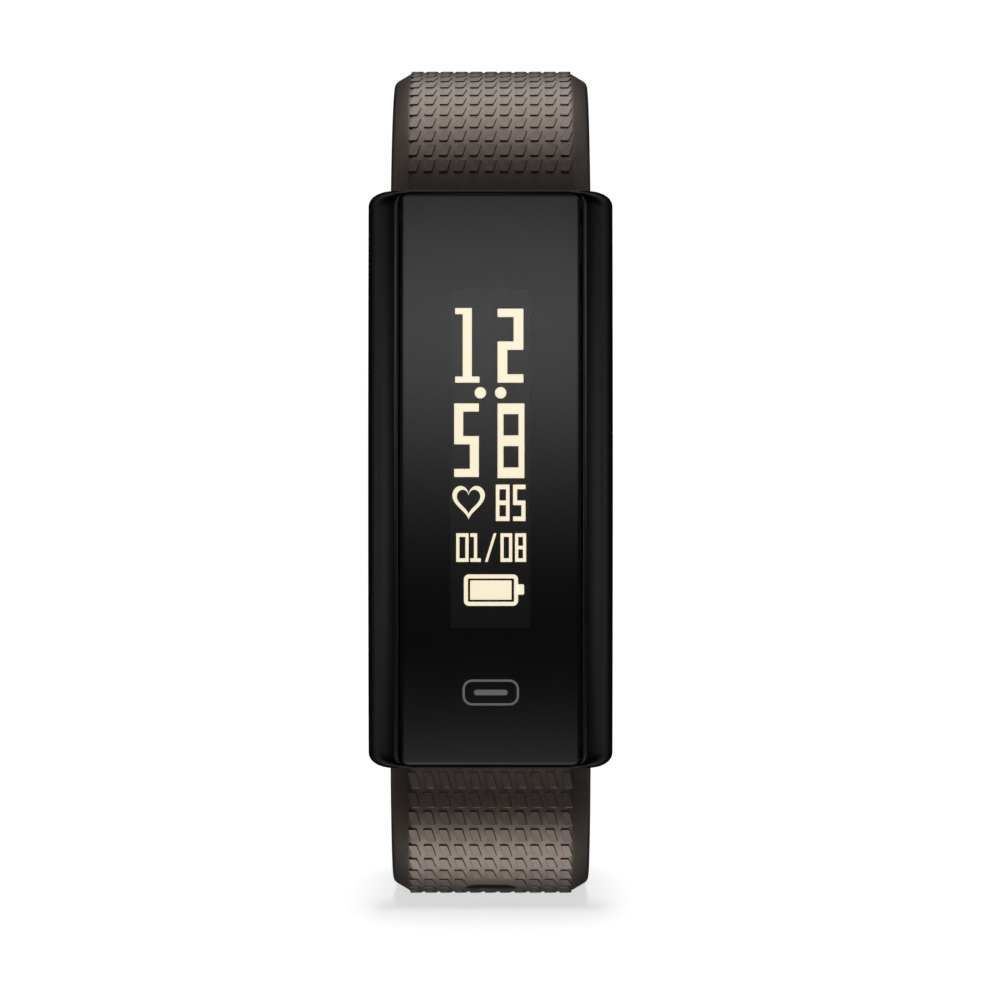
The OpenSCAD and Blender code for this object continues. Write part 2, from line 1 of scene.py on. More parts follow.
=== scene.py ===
# %% [markdown]
# # A fitness tracker band
# The band has a slim gloss-black case with a lit display, and two moulded straps with rows of
# raised pads that close with a pin buckle. This lesson loads the engineering model first,
# because every piece is placed from it, and then makes one piece or finish at a time.

# %% Load the frame
import json
import math

import bmesh
import bpy
from mathutils import Matrix, Vector


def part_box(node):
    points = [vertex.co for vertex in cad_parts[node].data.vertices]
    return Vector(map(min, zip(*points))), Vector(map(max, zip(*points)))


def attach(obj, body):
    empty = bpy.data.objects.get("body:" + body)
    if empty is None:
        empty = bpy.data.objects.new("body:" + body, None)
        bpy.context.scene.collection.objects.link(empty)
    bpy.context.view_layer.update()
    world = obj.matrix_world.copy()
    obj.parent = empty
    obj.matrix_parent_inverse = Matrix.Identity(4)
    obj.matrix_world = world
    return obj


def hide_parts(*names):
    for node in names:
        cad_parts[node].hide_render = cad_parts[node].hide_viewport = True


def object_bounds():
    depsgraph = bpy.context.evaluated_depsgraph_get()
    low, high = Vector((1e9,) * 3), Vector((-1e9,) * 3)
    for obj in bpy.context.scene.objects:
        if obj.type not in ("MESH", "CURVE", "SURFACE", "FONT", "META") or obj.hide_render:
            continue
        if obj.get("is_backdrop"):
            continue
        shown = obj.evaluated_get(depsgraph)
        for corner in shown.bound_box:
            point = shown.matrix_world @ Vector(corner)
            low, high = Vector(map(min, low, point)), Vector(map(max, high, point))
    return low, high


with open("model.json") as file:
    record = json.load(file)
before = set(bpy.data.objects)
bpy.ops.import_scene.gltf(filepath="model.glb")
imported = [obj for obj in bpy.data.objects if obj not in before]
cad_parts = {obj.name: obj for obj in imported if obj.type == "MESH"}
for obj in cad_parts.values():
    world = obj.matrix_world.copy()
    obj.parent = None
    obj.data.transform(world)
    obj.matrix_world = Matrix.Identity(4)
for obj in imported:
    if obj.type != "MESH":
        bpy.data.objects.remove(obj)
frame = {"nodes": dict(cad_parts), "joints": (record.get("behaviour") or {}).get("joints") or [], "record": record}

cad_low, cad_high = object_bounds()
MM = 0.001
print("box in mm:", [round(v / MM, 2) for v in (*cad_low, *cad_high)])

# %% [markdown]
# ## The places that everything is measured from
# The straps swing about the spring bars and the buckle about its bar, so the joints of the
# engineering model give those three axes. The case's corners give the rest. All of the
# modelling below is in metres, and MM turns the millimetres that a maker thinks in into them.

# %% Read the axes and the boxes
joints = {joint["name"]: joint for joint in frame["joints"]}
upper_axis = Vector(joints["upper_strap_swing"]["pos_m"])
lower_axis = Vector(joints["lower_strap_swing"]["pos_m"])
buckle_axis = Vector(joints["buckle_swing"]["pos_m"])
case_low, case_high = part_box("front_case")
lens_low, lens_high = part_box("lens")
panel_low, panel_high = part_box("display_panel")
cover_low, cover_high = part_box("rear_cover")
strap_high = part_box("upper_strap")[1]
print("axes in mm:", [[round(v / MM, 2) for v in a] for a in (upper_axis, lower_axis, buckle_axis)])

# %% [markdown]
# ## The camera
# The band is seen square from the front with a long lens, from a little below the middle of the
# case. A lens of 185 mm at 42 cm flattens the shape as a product picture does.

# %% Make the camera
VIEW_SHIFT_X = 0.76 * MM
VIEW_DROP = 1.64 * MM
VIEW_DISTANCE = 420 * MM
camera_data = bpy.data.cameras.new("camera")
camera_data.lens = 185
camera = bpy.data.objects.new("camera", camera_data)
bpy.context.collection.objects.link(camera)
camera.location = (VIEW_SHIFT_X, -VIEW_DISTANCE, -VIEW_DROP)
camera.rotation_euler = (math.radians(90), 0, 0)
camera_data.clip_start = 10 * MM
bpy.context.scene.camera = camera
bpy.context.scene.view_settings.view_transform = "Standard"

# %% [markdown]
# ## Helpers for meshes
# A bmesh is Blender's editable mesh. Each piece starts as one, gets its normals recalculated so
# that its faces point outwards, and becomes an object at the origin, because its place is in its
# mesh. Edges sharper than an angle stay crisp and the rest is shaded smooth.

# %% Turn a bmesh into an object
def make_object(name, bm, sharp=35):
    bmesh.ops.remove_doubles(bm, verts=bm.verts, dist=0.0005 * MM)
    bmesh.ops.recalc_face_normals(bm, faces=bm.faces)
    mesh = bpy.data.meshes.new(name)
    bm.to_mesh(mesh)
    bm.free()
    piece = bpy.data.objects.new(name, mesh)
    bpy.context.collection.objects.link(piece)
    shade(piece, sharp)
    return piece


def shade(piece, sharp=35):
    piece.data.polygons.foreach_set("use_smooth", [True] * len(piece.data.polygons))
    piece.data.set_sharp_from_angle(angle=math.radians(sharp))


# %% [markdown]
# ## Boxes, rods and cutting
# Many details are a plain body with something taken away, as a mould insert does. A Boolean
# modifier does that to whole objects. It is applied at once, so that the next step sees the
# result, and the cutter is thrown away.

# %% Boxes and rods as bmeshes
ROD_SIDES = 48


def box_bm(low, high):
    bm = bmesh.new()
    bmesh.ops.create_cube(bm, size=1)
    low, high = Vector(low), Vector(high)
    size = high - low
    bmesh.ops.scale(bm, vec=size, verts=bm.verts)
    bmesh.ops.translate(bm, vec=(low + high) / 2, verts=bm.verts)
    return bm


def rod_bm(radius, start, end):
    bm = bmesh.new()
    start, end = Vector(start), Vector(end)
    length = (end - start).length
    bmesh.ops.create_cone(bm, cap_ends=True, segments=ROD_SIDES, radius1=radius, radius2=radius,
                          depth=length)
    turn = (end - start).to_track_quat("Z", "Y").to_matrix()
    bmesh.ops.rotate(bm, matrix=turn, verts=bm.verts)
    bmesh.ops.translate(bm, vec=(start + end) / 2, verts=bm.verts)
    return bm


# %% Round edges and combine objects
SOFT_ANGLE = 40


def round_edges(bm, edges, radius, segments=4):
    bmesh.ops.bevel(bm, geom=edges, offset=radius, offset_type="OFFSET", segments=segments,
                    profile=0.5, affect="EDGES", material=-1, clamp_overlap=True)


def edges_along(bm, axis, where=lambda middle: True):
    found = []
    for edge in bm.edges:
        direction = (edge.verts[0].co - edge.verts[1].co).normalized()
        middle = (edge.verts[0].co + edge.verts[1].co) / 2
        if abs(direction[axis]) > 0.99 and where(middle):
            found.append(edge)
    return found


def apply_modifiers(piece, sharp=35):
    graph = bpy.context.evaluated_depsgraph_get()
    finished = bpy.data.meshes.new_from_object(piece.evaluated_get(graph))
    piece.modifiers.clear()
    piece.data = finished
    shade(piece, sharp)


def combine(piece, other_bm, how, sharp=35):
    other = make_object("cutter", other_bm)
    modifier = piece.modifiers.new("combine", "BOOLEAN")
    modifier.operation = how
    modifier.solver = "EXACT"
    modifier.object = other
    apply_modifiers(piece, sharp)
    bpy.data.objects.remove(other)


def soften(piece, width, segments=2, sharp=60):
    modifier = piece.modifiers.new("soften", "BEVEL")
    modifier.width = width
    modifier.segments = segments
    modifier.limit_method = "ANGLE"
    modifier.angle_limit = math.radians(SOFT_ANGLE)
    modifier.harden_normals = sharp > SOFT_ANGLE
    apply_modifiers(piece, sharp)


# %% [markdown]
# ## Helpers for materials
# Every finish is a small tree of nodes on Object coordinates, so that its grain stays put on the
# piece and has a real size. The Principled shader takes the constant values on its own sockets,
# and a noise texture varies its roughness and gives it a fine bump.

# %% Make a finish
NOISE_LOW, NOISE_HIGH = 0.3, 0.7


def principled(material):
    return material.node_tree.nodes["Principled BSDF"]


def new_finish(name, color, rough, metallic=0.0, ior=1.5, transmission=0.0):
    material = bpy.data.materials.new(name)
    material.use_nodes = True
    shader = principled(material)
    shader.inputs["Base Color"].default_value = (*color, 1)
    shader.inputs["Roughness"].default_value = rough
    shader.inputs["Metallic"].default_value = metallic
    shader.inputs["IOR"].default_value = ior
    shader.inputs["Transmission Weight"].default_value = transmission
    return material


def link(material, source, out, target, into):
    material.node_tree.links.new(source.outputs[out], target.inputs[into])


def noise(material, grains_per_mm, detail=3.0, stretch=(1, 1, 1)):
    nodes = material.node_tree.nodes
    place = nodes.new("ShaderNodeTexCoord")
    mapping = nodes.new("ShaderNodeMapping")
    mapping.inputs["Scale"].default_value = [grains_per_mm / MM * s for s in stretch]
    texture = nodes.new("ShaderNodeTexNoise")
    texture.inputs["Scale"].default_value = 1
    texture.inputs["Detail"].default_value = detail
    link(material, place, "Object", mapping, "Vector")
    link(material, mapping, "Vector", texture, "Vector")
    return texture


def vary_roughness(material, texture, low, high):
    remap = material.node_tree.nodes.new("ShaderNodeMapRange")
    remap.inputs["From Min"].default_value = NOISE_LOW
    remap.inputs["From Max"].default_value = NOISE_HIGH
    remap.inputs["To Min"].default_value = low
    remap.inputs["To Max"].default_value = high
    link(material, texture, "Fac", remap, "Value")
    link(material, remap, "Result", principled(material), "Roughness")


def vary_color(material, texture, dark, light):
    ramp = material.node_tree.nodes.new("ShaderNodeValToRGB")
    ramp.color_ramp.elements[0].position = NOISE_LOW
    ramp.color_ramp.elements[0].color = (*dark, 1)
    ramp.color_ramp.elements[1].position = NOISE_HIGH
    ramp.color_ramp.elements[1].color = (*light, 1)
    link(material, texture, "Fac", ramp, "Fac")
    link(material, ramp, "Color", principled(material), "Base Color")


def add_bump(material, texture, height):
    bump = material.node_tree.nodes.new("ShaderNodeBump")
    bump.inputs["Strength"].default_value = 1.0
    bump.inputs["Distance"].default_value = height
    link(material, texture, "Fac", bump, "Height")
    link(material, bump, "Normal", principled(material), "Normal")


def set_glow(material, color, strength):
    principled(material).inputs["Emission Color"].default_value = (*color, 1)
    principled(material).inputs["Emission Strength"].default_value = strength


def set_mirror(material, level):
    principled(material).inputs["Specular IOR Level"].default_value = level


def wear(piece, material):
    piece.data.materials.clear()
    piece.data.materials.append(material)


# %% [markdown]
# ## The finishes
# The case is a piano-black plastic. The lens is black too, as if printed, and clear only in two
# windows that a mask in its finish leaves open. The straps are a soft plastic with a pearly satin
# skin: its highlight has the strap's own brown-grey colour, which a mostly metallic surface
# gives. The buckle is dark brushed steel.

# %% Plastics and rubbers
def gloss_black():
    material = new_finish("gloss_black", (0.004, 0.004, 0.0045), 0.2)
    vary_roughness(material, noise(material, 0.35, 4), 0.16, 0.24)
    return material


def matte_black():
    material = new_finish("matte_black", (0.012, 0.012, 0.013), 0.5)
    grain = noise(material, 14, 2)
    vary_roughness(material, grain, 0.42, 0.6)
    add_bump(material, grain, 0.012 * MM)
    return material


def strap_satin():
    material = new_finish("strap_satin", (0.18, 0.145, 0.125), 0.4, metallic=0.95)
    cloud = noise(material, 1.2, 4)
    vary_color(material, cloud, (0.165, 0.133, 0.115), (0.195, 0.157, 0.135))
    grain = noise(material, 11, 3)
    vary_roughness(material, grain, 0.36, 0.44)
    add_bump(material, grain, 0.004 * MM)
    return material


def ink_black():
    material = new_finish("ink_black", (0.003, 0.003, 0.003), 0.6)
    set_mirror(material, 0.1)
    vary_roughness(material, noise(material, 6, 2), 0.55, 0.65)
    return material


def icon_grey_painted_glow():
    material = new_finish("icon_grey_painted_glow", (0.15, 0.15, 0.15), 0.6)
    # The icon is printed grey and is no lamp; this white glow is painted light that keeps it bright behind the
    # lens.
    set_glow(material, (1, 1, 1), 0.13)
    vary_color(material, noise(material, 8, 2), (0.13, 0.13, 0.13), (0.17, 0.17, 0.17))
    return material


# %% Glass and light
WINDOW_HALF_W = 3.24 * MM
WINDOW_LOW, WINDOW_TOP = -11.9 * MM, 15.2 * MM
KEY_MIDDLE = -16.97 * MM
INK_OVERLAP = 0.06 * MM
CLEAR_WINDOWS = [(WINDOW_HALF_W - INK_OVERLAP, WINDOW_LOW + INK_OVERLAP, WINDOW_TOP - INK_OVERLAP),
                 (2.6 * MM, KEY_MIDDLE - 1.4 * MM, KEY_MIDDLE + 1.4 * MM)]


def inside_window(material, half_w, low, high):
    """A mask that is 1 between two heights and within a half width, and 0 elsewhere."""
    nodes = material.node_tree.nodes
    place = nodes.new("ShaderNodeTexCoord")
    split = nodes.new("ShaderNodeSeparateXYZ")
    link(material, place, "Object", split, "Vector")
    near = [nodes.new("ShaderNodeMath") for _ in range(2)]
    for test, axis, middle, reach in zip(near, "XZ", (0, (low + high) / 2), (half_w, (high - low) / 2)):
        test.operation = "COMPARE"
        test.inputs[1].default_value = middle
        test.inputs[2].default_value = reach
        link(material, split, axis, test, 0)
    both = nodes.new("ShaderNodeMath")
    both.operation = "MULTIPLY"
    link(material, near[0], 0, both, 0)
    link(material, near[1], 0, both, 1)
    return both


def lens_smoke():
    material = new_finish("lens_smoke", (0.004, 0.004, 0.004), 0.1, ior=1.49)
    vary_roughness(material, noise(material, 0.25, 3), 0.08, 0.12)
    nodes = material.node_tree.nodes
    clear = nodes.new("ShaderNodeMath")
    clear.operation = "ADD"
    windows = [inside_window(material, *window) for window in CLEAR_WINDOWS]
    for into, window in enumerate(windows):
        link(material, window, 0, clear, into)
    tint = nodes.new("ShaderNodeMix")
    tint.data_type = "RGBA"
    tint.inputs["A"].default_value = (0.004, 0.004, 0.004, 1)
    tint.inputs["B"].default_value = (0.75, 0.75, 0.75, 1)
    link(material, clear, 0, tint, "Factor")
    shader = principled(material)
    material.node_tree.links.new(tint.outputs["Result"], shader.inputs["Base Color"])
    link(material, clear, 0, shader, "Transmission Weight")
    return material


def window_smoke():
    material = new_finish("window_smoke", (0.35, 0.35, 0.38), 0.06, transmission=1.0, ior=1.49)
    vary_roughness(material, noise(material, 0.4, 3), 0.04, 0.08)
    return material


def panel_glass_painted_glow():
    material = new_finish("panel_glass_painted_glow", (0.005, 0.005, 0.005), 0.5)
    set_mirror(material, 0.1)
    # The display's pixels are dark here, so this faint glow is painted light that lifts the display's face a
    # little above the black ink.
    set_glow(material, (1, 1, 1), 0.004)
    vary_roughness(material, noise(material, 0.5, 2), 0.45, 0.55)
    return material


def figure_glow():
    material = new_finish("figure_glow", (0.8, 0.75, 0.6), 0.5)
    set_glow(material, (1.0, 0.9, 0.66), 1.08)
    vary_roughness(material, noise(material, 3, 2), 0.45, 0.55)
    return material


# %% Metals
def brushed(name, color, low, high):
    material = new_finish(name, color, low, metallic=1.0)
    lines = noise(material, 18, 3, stretch=(0.05, 1, 1))
    vary_roughness(material, lines, low, high)
    add_bump(material, lines, 0.003 * MM)
    return material


def plated(name, color):
    material = new_finish(name, color, 0.22, metallic=1.0)
    vary_roughness(material, noise(material, 2, 4), 0.16, 0.32)
    return material


def board_mask():
    material = new_finish("board_mask", (0.01, 0.09, 0.03), 0.35)
    traces = noise(material, 1.6, 1, stretch=(1, 0.2, 1))
    vary_color(material, traces, (0.008, 0.07, 0.025), (0.015, 0.12, 0.045))
    add_bump(material, traces, 0.02 * MM)
    return material


def moulded(name, color, rough=0.5):
    material = new_finish(name, color, rough)
    grain = noise(material, 9, 3)
    vary_color(material, grain, [c * 0.85 for c in color], [min(1, c * 1.12) for c in color])
    add_bump(material, grain, 0.008 * MM)
    return material


finish = {
    "gloss_black": gloss_black(), "matte_black": matte_black(), "strap_satin": strap_satin(),
    "ink_black": ink_black(), "icon_grey_painted_glow": icon_grey_painted_glow(), "lens_smoke": lens_smoke(),
    "window_smoke": window_smoke(), "panel_glass_painted_glow": panel_glass_painted_glow(), "figure_glow": figure_glow(),
    "buckle_steel": brushed("buckle_steel", (0.16, 0.16, 0.17), 0.24, 0.36),
    "bar_steel": brushed("bar_steel", (0.62, 0.62, 0.64), 0.2, 0.32),
    "tin_plate": plated("tin_plate", (0.7, 0.7, 0.72)),
    "gold_plate": plated("gold_plate", (0.9, 0.68, 0.32)),
    "board_mask": board_mask(), "chip_black": moulded("chip_black", (0.02, 0.02, 0.02)),
    "ceramic": moulded("ceramic", (0.75, 0.74, 0.7), 0.4), "foil": plated("foil", (0.66, 0.67, 0.69)),
    "foam": moulded("foam", (0.6, 0.6, 0.56), 0.8),
    "foam_black": moulded("foam_black", (0.02, 0.02, 0.02), 0.8),
    "ribbon": moulded("ribbon", (0.5, 0.26, 0.06), 0.35),
    "seal_grey": moulded("seal_grey", (0.12, 0.12, 0.13), 0.6),
    "weight_metal": brushed("weight_metal", (0.35, 0.33, 0.3), 0.4, 0.6),
    "led_green": moulded("led_green", (0.3, 0.75, 0.36), 0.2),
    "diode_dark": moulded("diode_dark", (0.05, 0.04, 0.08), 0.15),
}
print(len(finish), "finishes")

# %% [markdown]
# ## The route of a strap
# Each strap is a moulded bar that keeps one cross-section while it bends round the wrist. Its
# route is a short list of steps, each a straight length or a bend, that starts at the spring bar
# and leans back. A station is a place on that route with its own three axes: across the strap,
# along it, and out of its visible face.

# %% Describe the two routes
QUARTER = math.pi / 2
LEAD = 3.8 * MM
UPPER_LEAN = math.radians(35)
LOWER_LEAN = math.radians(19)
UPPER_STEPS = [(0, LEAD), (QUARTER - UPPER_LEAN, 23.9 * MM), (0, 1 * MM),
               (QUARTER, 16 * MM), (0, 20.3 * MM)]
LOWER_STEPS = [(0, LEAD), (QUARTER - LOWER_LEAN, 14 * MM), (0, 12 * MM),
               (QUARTER, 27.65 * MM), (0, 19.5 * MM)]


def step_length(step):
    turn, size = step
    return size if turn == 0 else size * turn


class Route:
    def __init__(self, axis, side, lean, steps):
        self.axis, self.side, self.lean, self.steps = axis, side, lean, steps
        self.length = sum(step_length(step) for step in steps)

    def station(self, distance):
        y, z, heading = 0.0, 0.0, self.lean
        for turn, size in self.steps:
            walked = min(distance, step_length((turn, size)))
            if turn == 0:
                y += walked * math.sin(heading)
                z += walked * math.cos(heading)
            else:
                start = heading
                heading += walked / size
                y += size * (math.cos(start) - math.cos(heading))
                z += size * (math.sin(heading) - math.sin(start))
            distance -= walked
        along = Vector((0, math.sin(heading), self.side * math.cos(heading)))
        out = Vector((0, -math.cos(heading), self.side * math.sin(heading)))
        axes = Matrix((Vector((1, 0, 0)), along, out)).transposed().to_4x4()
        return Matrix.Translation(self.axis + Vector((0, y, self.side * z))) @ axes


upper_route = Route(upper_axis, 1, UPPER_LEAN, UPPER_STEPS)
lower_route = Route(lower_axis, -1, LOWER_LEAN, LOWER_STEPS)
print("strap lengths in mm:", [round(r.length / MM, 1) for r in (upper_route, lower_route)])

# %% [markdown]
# ## The cross-section of a strap
# The visible face is flat in the middle and falls away in a bevel on each side, and every edge
# is rounded, as a mould needs. The outline starts as one face with sharp corners. A vertex bevel
# rounds them, and the flat lies a little low to leave room for the raised pads.

# %% Draw the cross-section
STRAP_HALF_W = strap_high.x
STRAP_T = 2.3 * MM
FLAT_HALF_W = 6.55 * MM
BEVEL_DROP = 1.0 * MM
PAD_RISE = 0.08 * MM
EDGE_ROUND = 0.32 * MM
STRAP_SHARP = 38


def strap_section():
    ground = STRAP_T / 2 - PAD_RISE
    corners = [(-STRAP_HALF_W, -STRAP_T / 2), (STRAP_HALF_W, -STRAP_T / 2),
               (STRAP_HALF_W, STRAP_T / 2 - BEVEL_DROP), (FLAT_HALF_W, ground),
               (-FLAT_HALF_W, ground), (-STRAP_HALF_W, STRAP_T / 2 - BEVEL_DROP)]
    bm = bmesh.new()
    bm.faces.new([bm.verts.new((x, 0, out)) for x, out in corners])
    bmesh.ops.bevel(bm, geom=bm.verts[:], offset=EDGE_ROUND, segments=5, profile=0.5,
                    affect="VERTICES", material=-1)
    return bm


# %% [markdown]
# ## Sweeping the strap
# The section's edge is extruded again and again, and each new ring is carried to the next
# station by one matrix. This gives an even, gently curved skin, which a Curve object with a
# bevel could also give, but the rings stay under control here: at the tip they shrink so that
# the strap ends in a rounded nose.

# %% Sweep a section along a route
RING_STEP = 0.45 * MM
TIP_PLAN_R = 6 * MM
NOSE = 0.8 * MM


def ring_stops(route, has_tip):
    straight_end = route.length - (TIP_PLAN_R if has_tip else 0)
    count = round(straight_end / RING_STEP)
    stops = [straight_end * k / count for k in range(count + 1)]
    if has_tip:
        stops += [straight_end + TIP_PLAN_R * math.sin(math.radians(a)) for a in range(8, 91, 6)]
    return stops


def ring_shape(route, has_tip, distance):
    into_tip = distance - (route.length - TIP_PLAN_R)
    if not has_tip or into_tip <= 0:
        return Matrix.Identity(4)
    into_tip = min(into_tip, 0.999 * TIP_PLAN_R)
    half_w = STRAP_HALF_W - TIP_PLAN_R + math.sqrt(TIP_PLAN_R ** 2 - into_tip ** 2)
    into_nose = max(0, into_tip - (TIP_PLAN_R - NOSE)) / NOSE
    return Matrix.Diagonal((half_w / STRAP_HALF_W, 1, math.sqrt(1 - 0.8 * into_nose ** 2), 1))


def extrude_ring(bm, ring):
    grown = bmesh.ops.extrude_edge_only(bm, edges=ring)["geom"]
    verts = [g for g in grown if isinstance(g, bmesh.types.BMVert)]
    fresh = set(verts)
    return verts, [g for g in grown if isinstance(g, bmesh.types.BMEdge) and set(g.verts) <= fresh]


def sweep_strap(route, has_tip):
    bm = strap_section()
    ring = bm.edges[:]
    stops = ring_stops(route, has_tip)
    placed = route.station(stops[0])
    bmesh.ops.transform(bm, matrix=placed, verts=bm.verts)
    for distance in stops[1:]:
        verts, ring = extrude_ring(bm, ring)
        target = route.station(distance) @ ring_shape(route, has_tip, distance)
        bmesh.ops.transform(bm, matrix=target @ placed.inverted(), verts=verts)
        placed = target
    bmesh.ops.edgeloop_fill(bm, edges=ring)
    return bm


# %% [markdown]
# ## The adjustment holes
# The buckle's tang drops into a row of long round holes. Their rims are rounded in the mould, so
# the cutter is a pill that flares at both faces of the strap. It starts as a circle, whose two
# halves are moved apart, and its rim is extruded through the thickness.

# %% Shape the hole's cutter
HOLE_W = 4.0 * MM
HOLE_LEN = 2.0 * MM
HOLE_START = 17.2 * MM
HOLE_PITCH = 7 * MM
HOLE_COUNT = 10
RIM_ROUND = 0.25 * MM


def flare(distance_to_face):
    inside = min(max(distance_to_face / RIM_ROUND, 0), 1)
    return RIM_ROUND * (1 - math.sqrt(1 - (1 - inside) ** 2))


def hole_cutter():
    half_gap = (HOLE_W - HOLE_LEN) / 2
    depths = [-STRAP_T, *(-STRAP_T / 2 + RIM_ROUND * k / 6 for k in range(7))]
    depths += [-depth for depth in reversed(depths)]
    bm = bmesh.new()
    bmesh.ops.create_circle(bm, segments=32, radius=HOLE_LEN / 2)
    for vert in bm.verts:
        vert.co.x += half_gap if vert.co.x > 0 else -half_gap
    verts, ring = bm.verts[:], bm.edges[:]
    for number, depth in enumerate(depths):
        if number:
            verts, ring = extrude_ring(bm, ring)
        radius = HOLE_LEN / 2 + flare(STRAP_T / 2 - abs(depth))
        for vert in verts:
            middle = Vector((half_gap if vert.co.x > 0 else -half_gap, 0, 0))
            spoke = Vector((vert.co.x - middle.x, vert.co.y, 0)).normalized()
            vert.co = middle + spoke * radius + Vector((0, 0, depth))
    bmesh.ops.holes_fill(bm, edges=[e for e in bm.edges if e.is_boundary], sides=0)
    return bm


def placed_copy(bm, matrix):
    bmesh.ops.transform(bm, matrix=matrix, verts=bm.verts)
    return bm


# %% [markdown]
# ## The raised pads
# The visible face of the strap carries rows of small slanted pads. There are over eight hundred
# of them, so one pad with about fifty faces is made first: a block that is sheared, with rounded
# corners and a softened top. Copies of its mesh are then laid out by the stations of the route.

# %% Make one pad
PAD_W = 0.72 * MM
PAD_LEN = 1.4 * MM
PAD_SLANT = 0.34 * MM
PAD_CORNER = 0.13 * MM
PAD_SOFT = 0.045 * MM
PAD_ROOT = 0.08 * MM
PAD_PITCH_X = 1.24 * MM
PAD_PITCH = 1.8 * MM
PAD_COLUMNS = 11
PAD_SHARP = 20


def pad_mesh():
    bm = box_bm((-PAD_W / 2, -PAD_LEN / 2, -PAD_ROOT), (PAD_W / 2, PAD_LEN / 2, PAD_RISE))
    round_edges(bm, edges_along(bm, 2), PAD_CORNER, 3)
    rim = [e for e in bm.edges if all(v.co.z > 0.99 * PAD_RISE for v in e.verts)]
    round_edges(bm, rim, PAD_SOFT, 2)
    for vert in bm.verts:
        vert.co.x += PAD_SLANT * vert.co.y / PAD_LEN
    bmesh.ops.recalc_face_normals(bm, faces=bm.faces)
    mesh = bpy.data.meshes.new("pad")
    bm.to_mesh(mesh)
    bm.free()
    return mesh


# %% Lay the pads out along a strap
def pad_rows(route, first, last):
    rows, distance = [], first
    while distance < last:
        rows.append(distance)
        heading = [route.station(distance + d).col[1].to_3d() for d in (0, PAD_PITCH)]
        turn = heading[0].angle(heading[1], 0)
        distance += PAD_PITCH / (1 + turn * STRAP_T / 2 / PAD_PITCH)
    return rows


def add_pads(strap, route, rows, keep_clear=lambda distance, x: False):
    pad = pad_mesh()
    bm = bmesh.new()
    bm.from_mesh(strap.data)
    count = 0
    for distance in rows:
        station = route.station(distance)
        for column in range(PAD_COLUMNS):
            x = (column - (PAD_COLUMNS - 1) / 2) * PAD_PITCH_X
            if keep_clear(distance, x):
                continue
            bm.from_mesh(pad)
            bm.verts.ensure_lookup_table()
            fresh = bm.verts[-len(pad.vertices):]
            seat = Matrix.Translation((x, 0, STRAP_T / 2 - PAD_RISE))
            bmesh.ops.transform(bm, matrix=station @ seat, verts=fresh)
            count += 1
    if route.side < 0:
        bm.faces.ensure_lookup_table()
        bmesh.ops.reverse_faces(bm, faces=bm.faces[len(strap.data.polygons):])
    bm.to_mesh(strap.data)
    bm.free()
    shade(strap, PAD_SHARP)
    print(strap.name, "has", count, "pads")


# %% [markdown]
# ## The upper strap
# One end turns on the spring bar in the case and the other carries the buckle's bar, so both
# ends are thickened to a round knuckle with a bore. A notch in the buckle's end leaves room for
# the tang.

# %% Build the upper strap
KNUCKLE_R = 2.0 * MM
END_R = 1.7 * MM
BAR_BORE = 0.8 * MM
BUCKLE_BORE = 0.85 * MM
NOTCH_HALF_W = 1.7 * MM
NOTCH_TOP = END_R + 0.5 * MM
NOTCH_CORNER = 0.6 * MM
UPPER_BARE_START, UPPER_BARE_END = 5.7 * MM, 4.6 * MM
FAR = 60 * MM


def across(radius, half_w, middle, soft=0.0):
    bm = rod_bm(radius, middle - Vector((half_w, 0, 0)), middle + Vector((half_w, 0, 0)))
    if soft:
        rims = [e for e in bm.edges if abs(e.verts[0].co.x - e.verts[1].co.x) < soft * 0.01]
        round_edges(bm, rims, soft, 3)
    return bm


def strap_body(name, route, has_tip):
    strap = make_object(name, sweep_strap(route, has_tip), STRAP_SHARP)
    combine(strap, across(KNUCKLE_R, STRAP_HALF_W, route.axis, EDGE_ROUND), "UNION", STRAP_SHARP)
    return strap


upper_skin = strap_body("upper_strap_skin", upper_route, False)
combine(upper_skin, across(END_R, STRAP_HALF_W, buckle_axis, EDGE_ROUND), "UNION", STRAP_SHARP)
combine(upper_skin, across(BAR_BORE, FAR, upper_axis), "DIFFERENCE", STRAP_SHARP)
combine(upper_skin, across(BUCKLE_BORE, FAR, buckle_axis), "DIFFERENCE", STRAP_SHARP)
notch_low = buckle_axis + Vector((-NOTCH_HALF_W, -FAR / 4, -FAR / 4))
notch_high = buckle_axis + Vector((NOTCH_HALF_W, FAR / 4, NOTCH_TOP))
notch = box_bm(notch_low, notch_high)
round_edges(notch, edges_along(notch, 1, lambda m: m.z > buckle_axis.z), NOTCH_CORNER, 4)
combine(upper_skin, notch, "DIFFERENCE", STRAP_SHARP)
upper_rows = pad_rows(upper_route, UPPER_BARE_START, upper_route.length - UPPER_BARE_END)
add_pads(upper_skin, upper_route, upper_rows)

# %% [markdown]
# ## The lower strap
# The longer strap ends in a rounded tip and has the row of holes. The pads stop short of every
# hole and of the tip, because a pad that is cut through would leave a sharp sliver in the mould.

# %% Build the lower strap
HOLE_MARGIN = 0.55 * MM
LOWER_BARE_START, LOWER_BARE_END = 3.9 * MM, 1.8 * MM
TIP_BARE, TIP_SIDES_BARE = 3 * MM, 5.5 * MM
hole_stops = [HOLE_START + HOLE_PITCH * k for k in range(HOLE_COUNT)]


def near_hole(distance, x):
    long_gap = min(abs(distance - stop) for stop in hole_stops)
    reach_x = max(0, abs(x) - (HOLE_W - HOLE_LEN) / 2 - PAD_W / 2)
    reach_s = max(0, long_gap - PAD_LEN / 2)
    in_tip = distance > lower_route.length - TIP_BARE and abs(x) > 1.5 * PAD_PITCH_X
    near_tip = distance > lower_route.length - TIP_SIDES_BARE and abs(x) > 3.5 * PAD_PITCH_X
    at_hole = math.hypot(reach_x, reach_s) < HOLE_LEN / 2 + HOLE_MARGIN - PAD_CORNER
    return at_hole or in_tip or near_tip


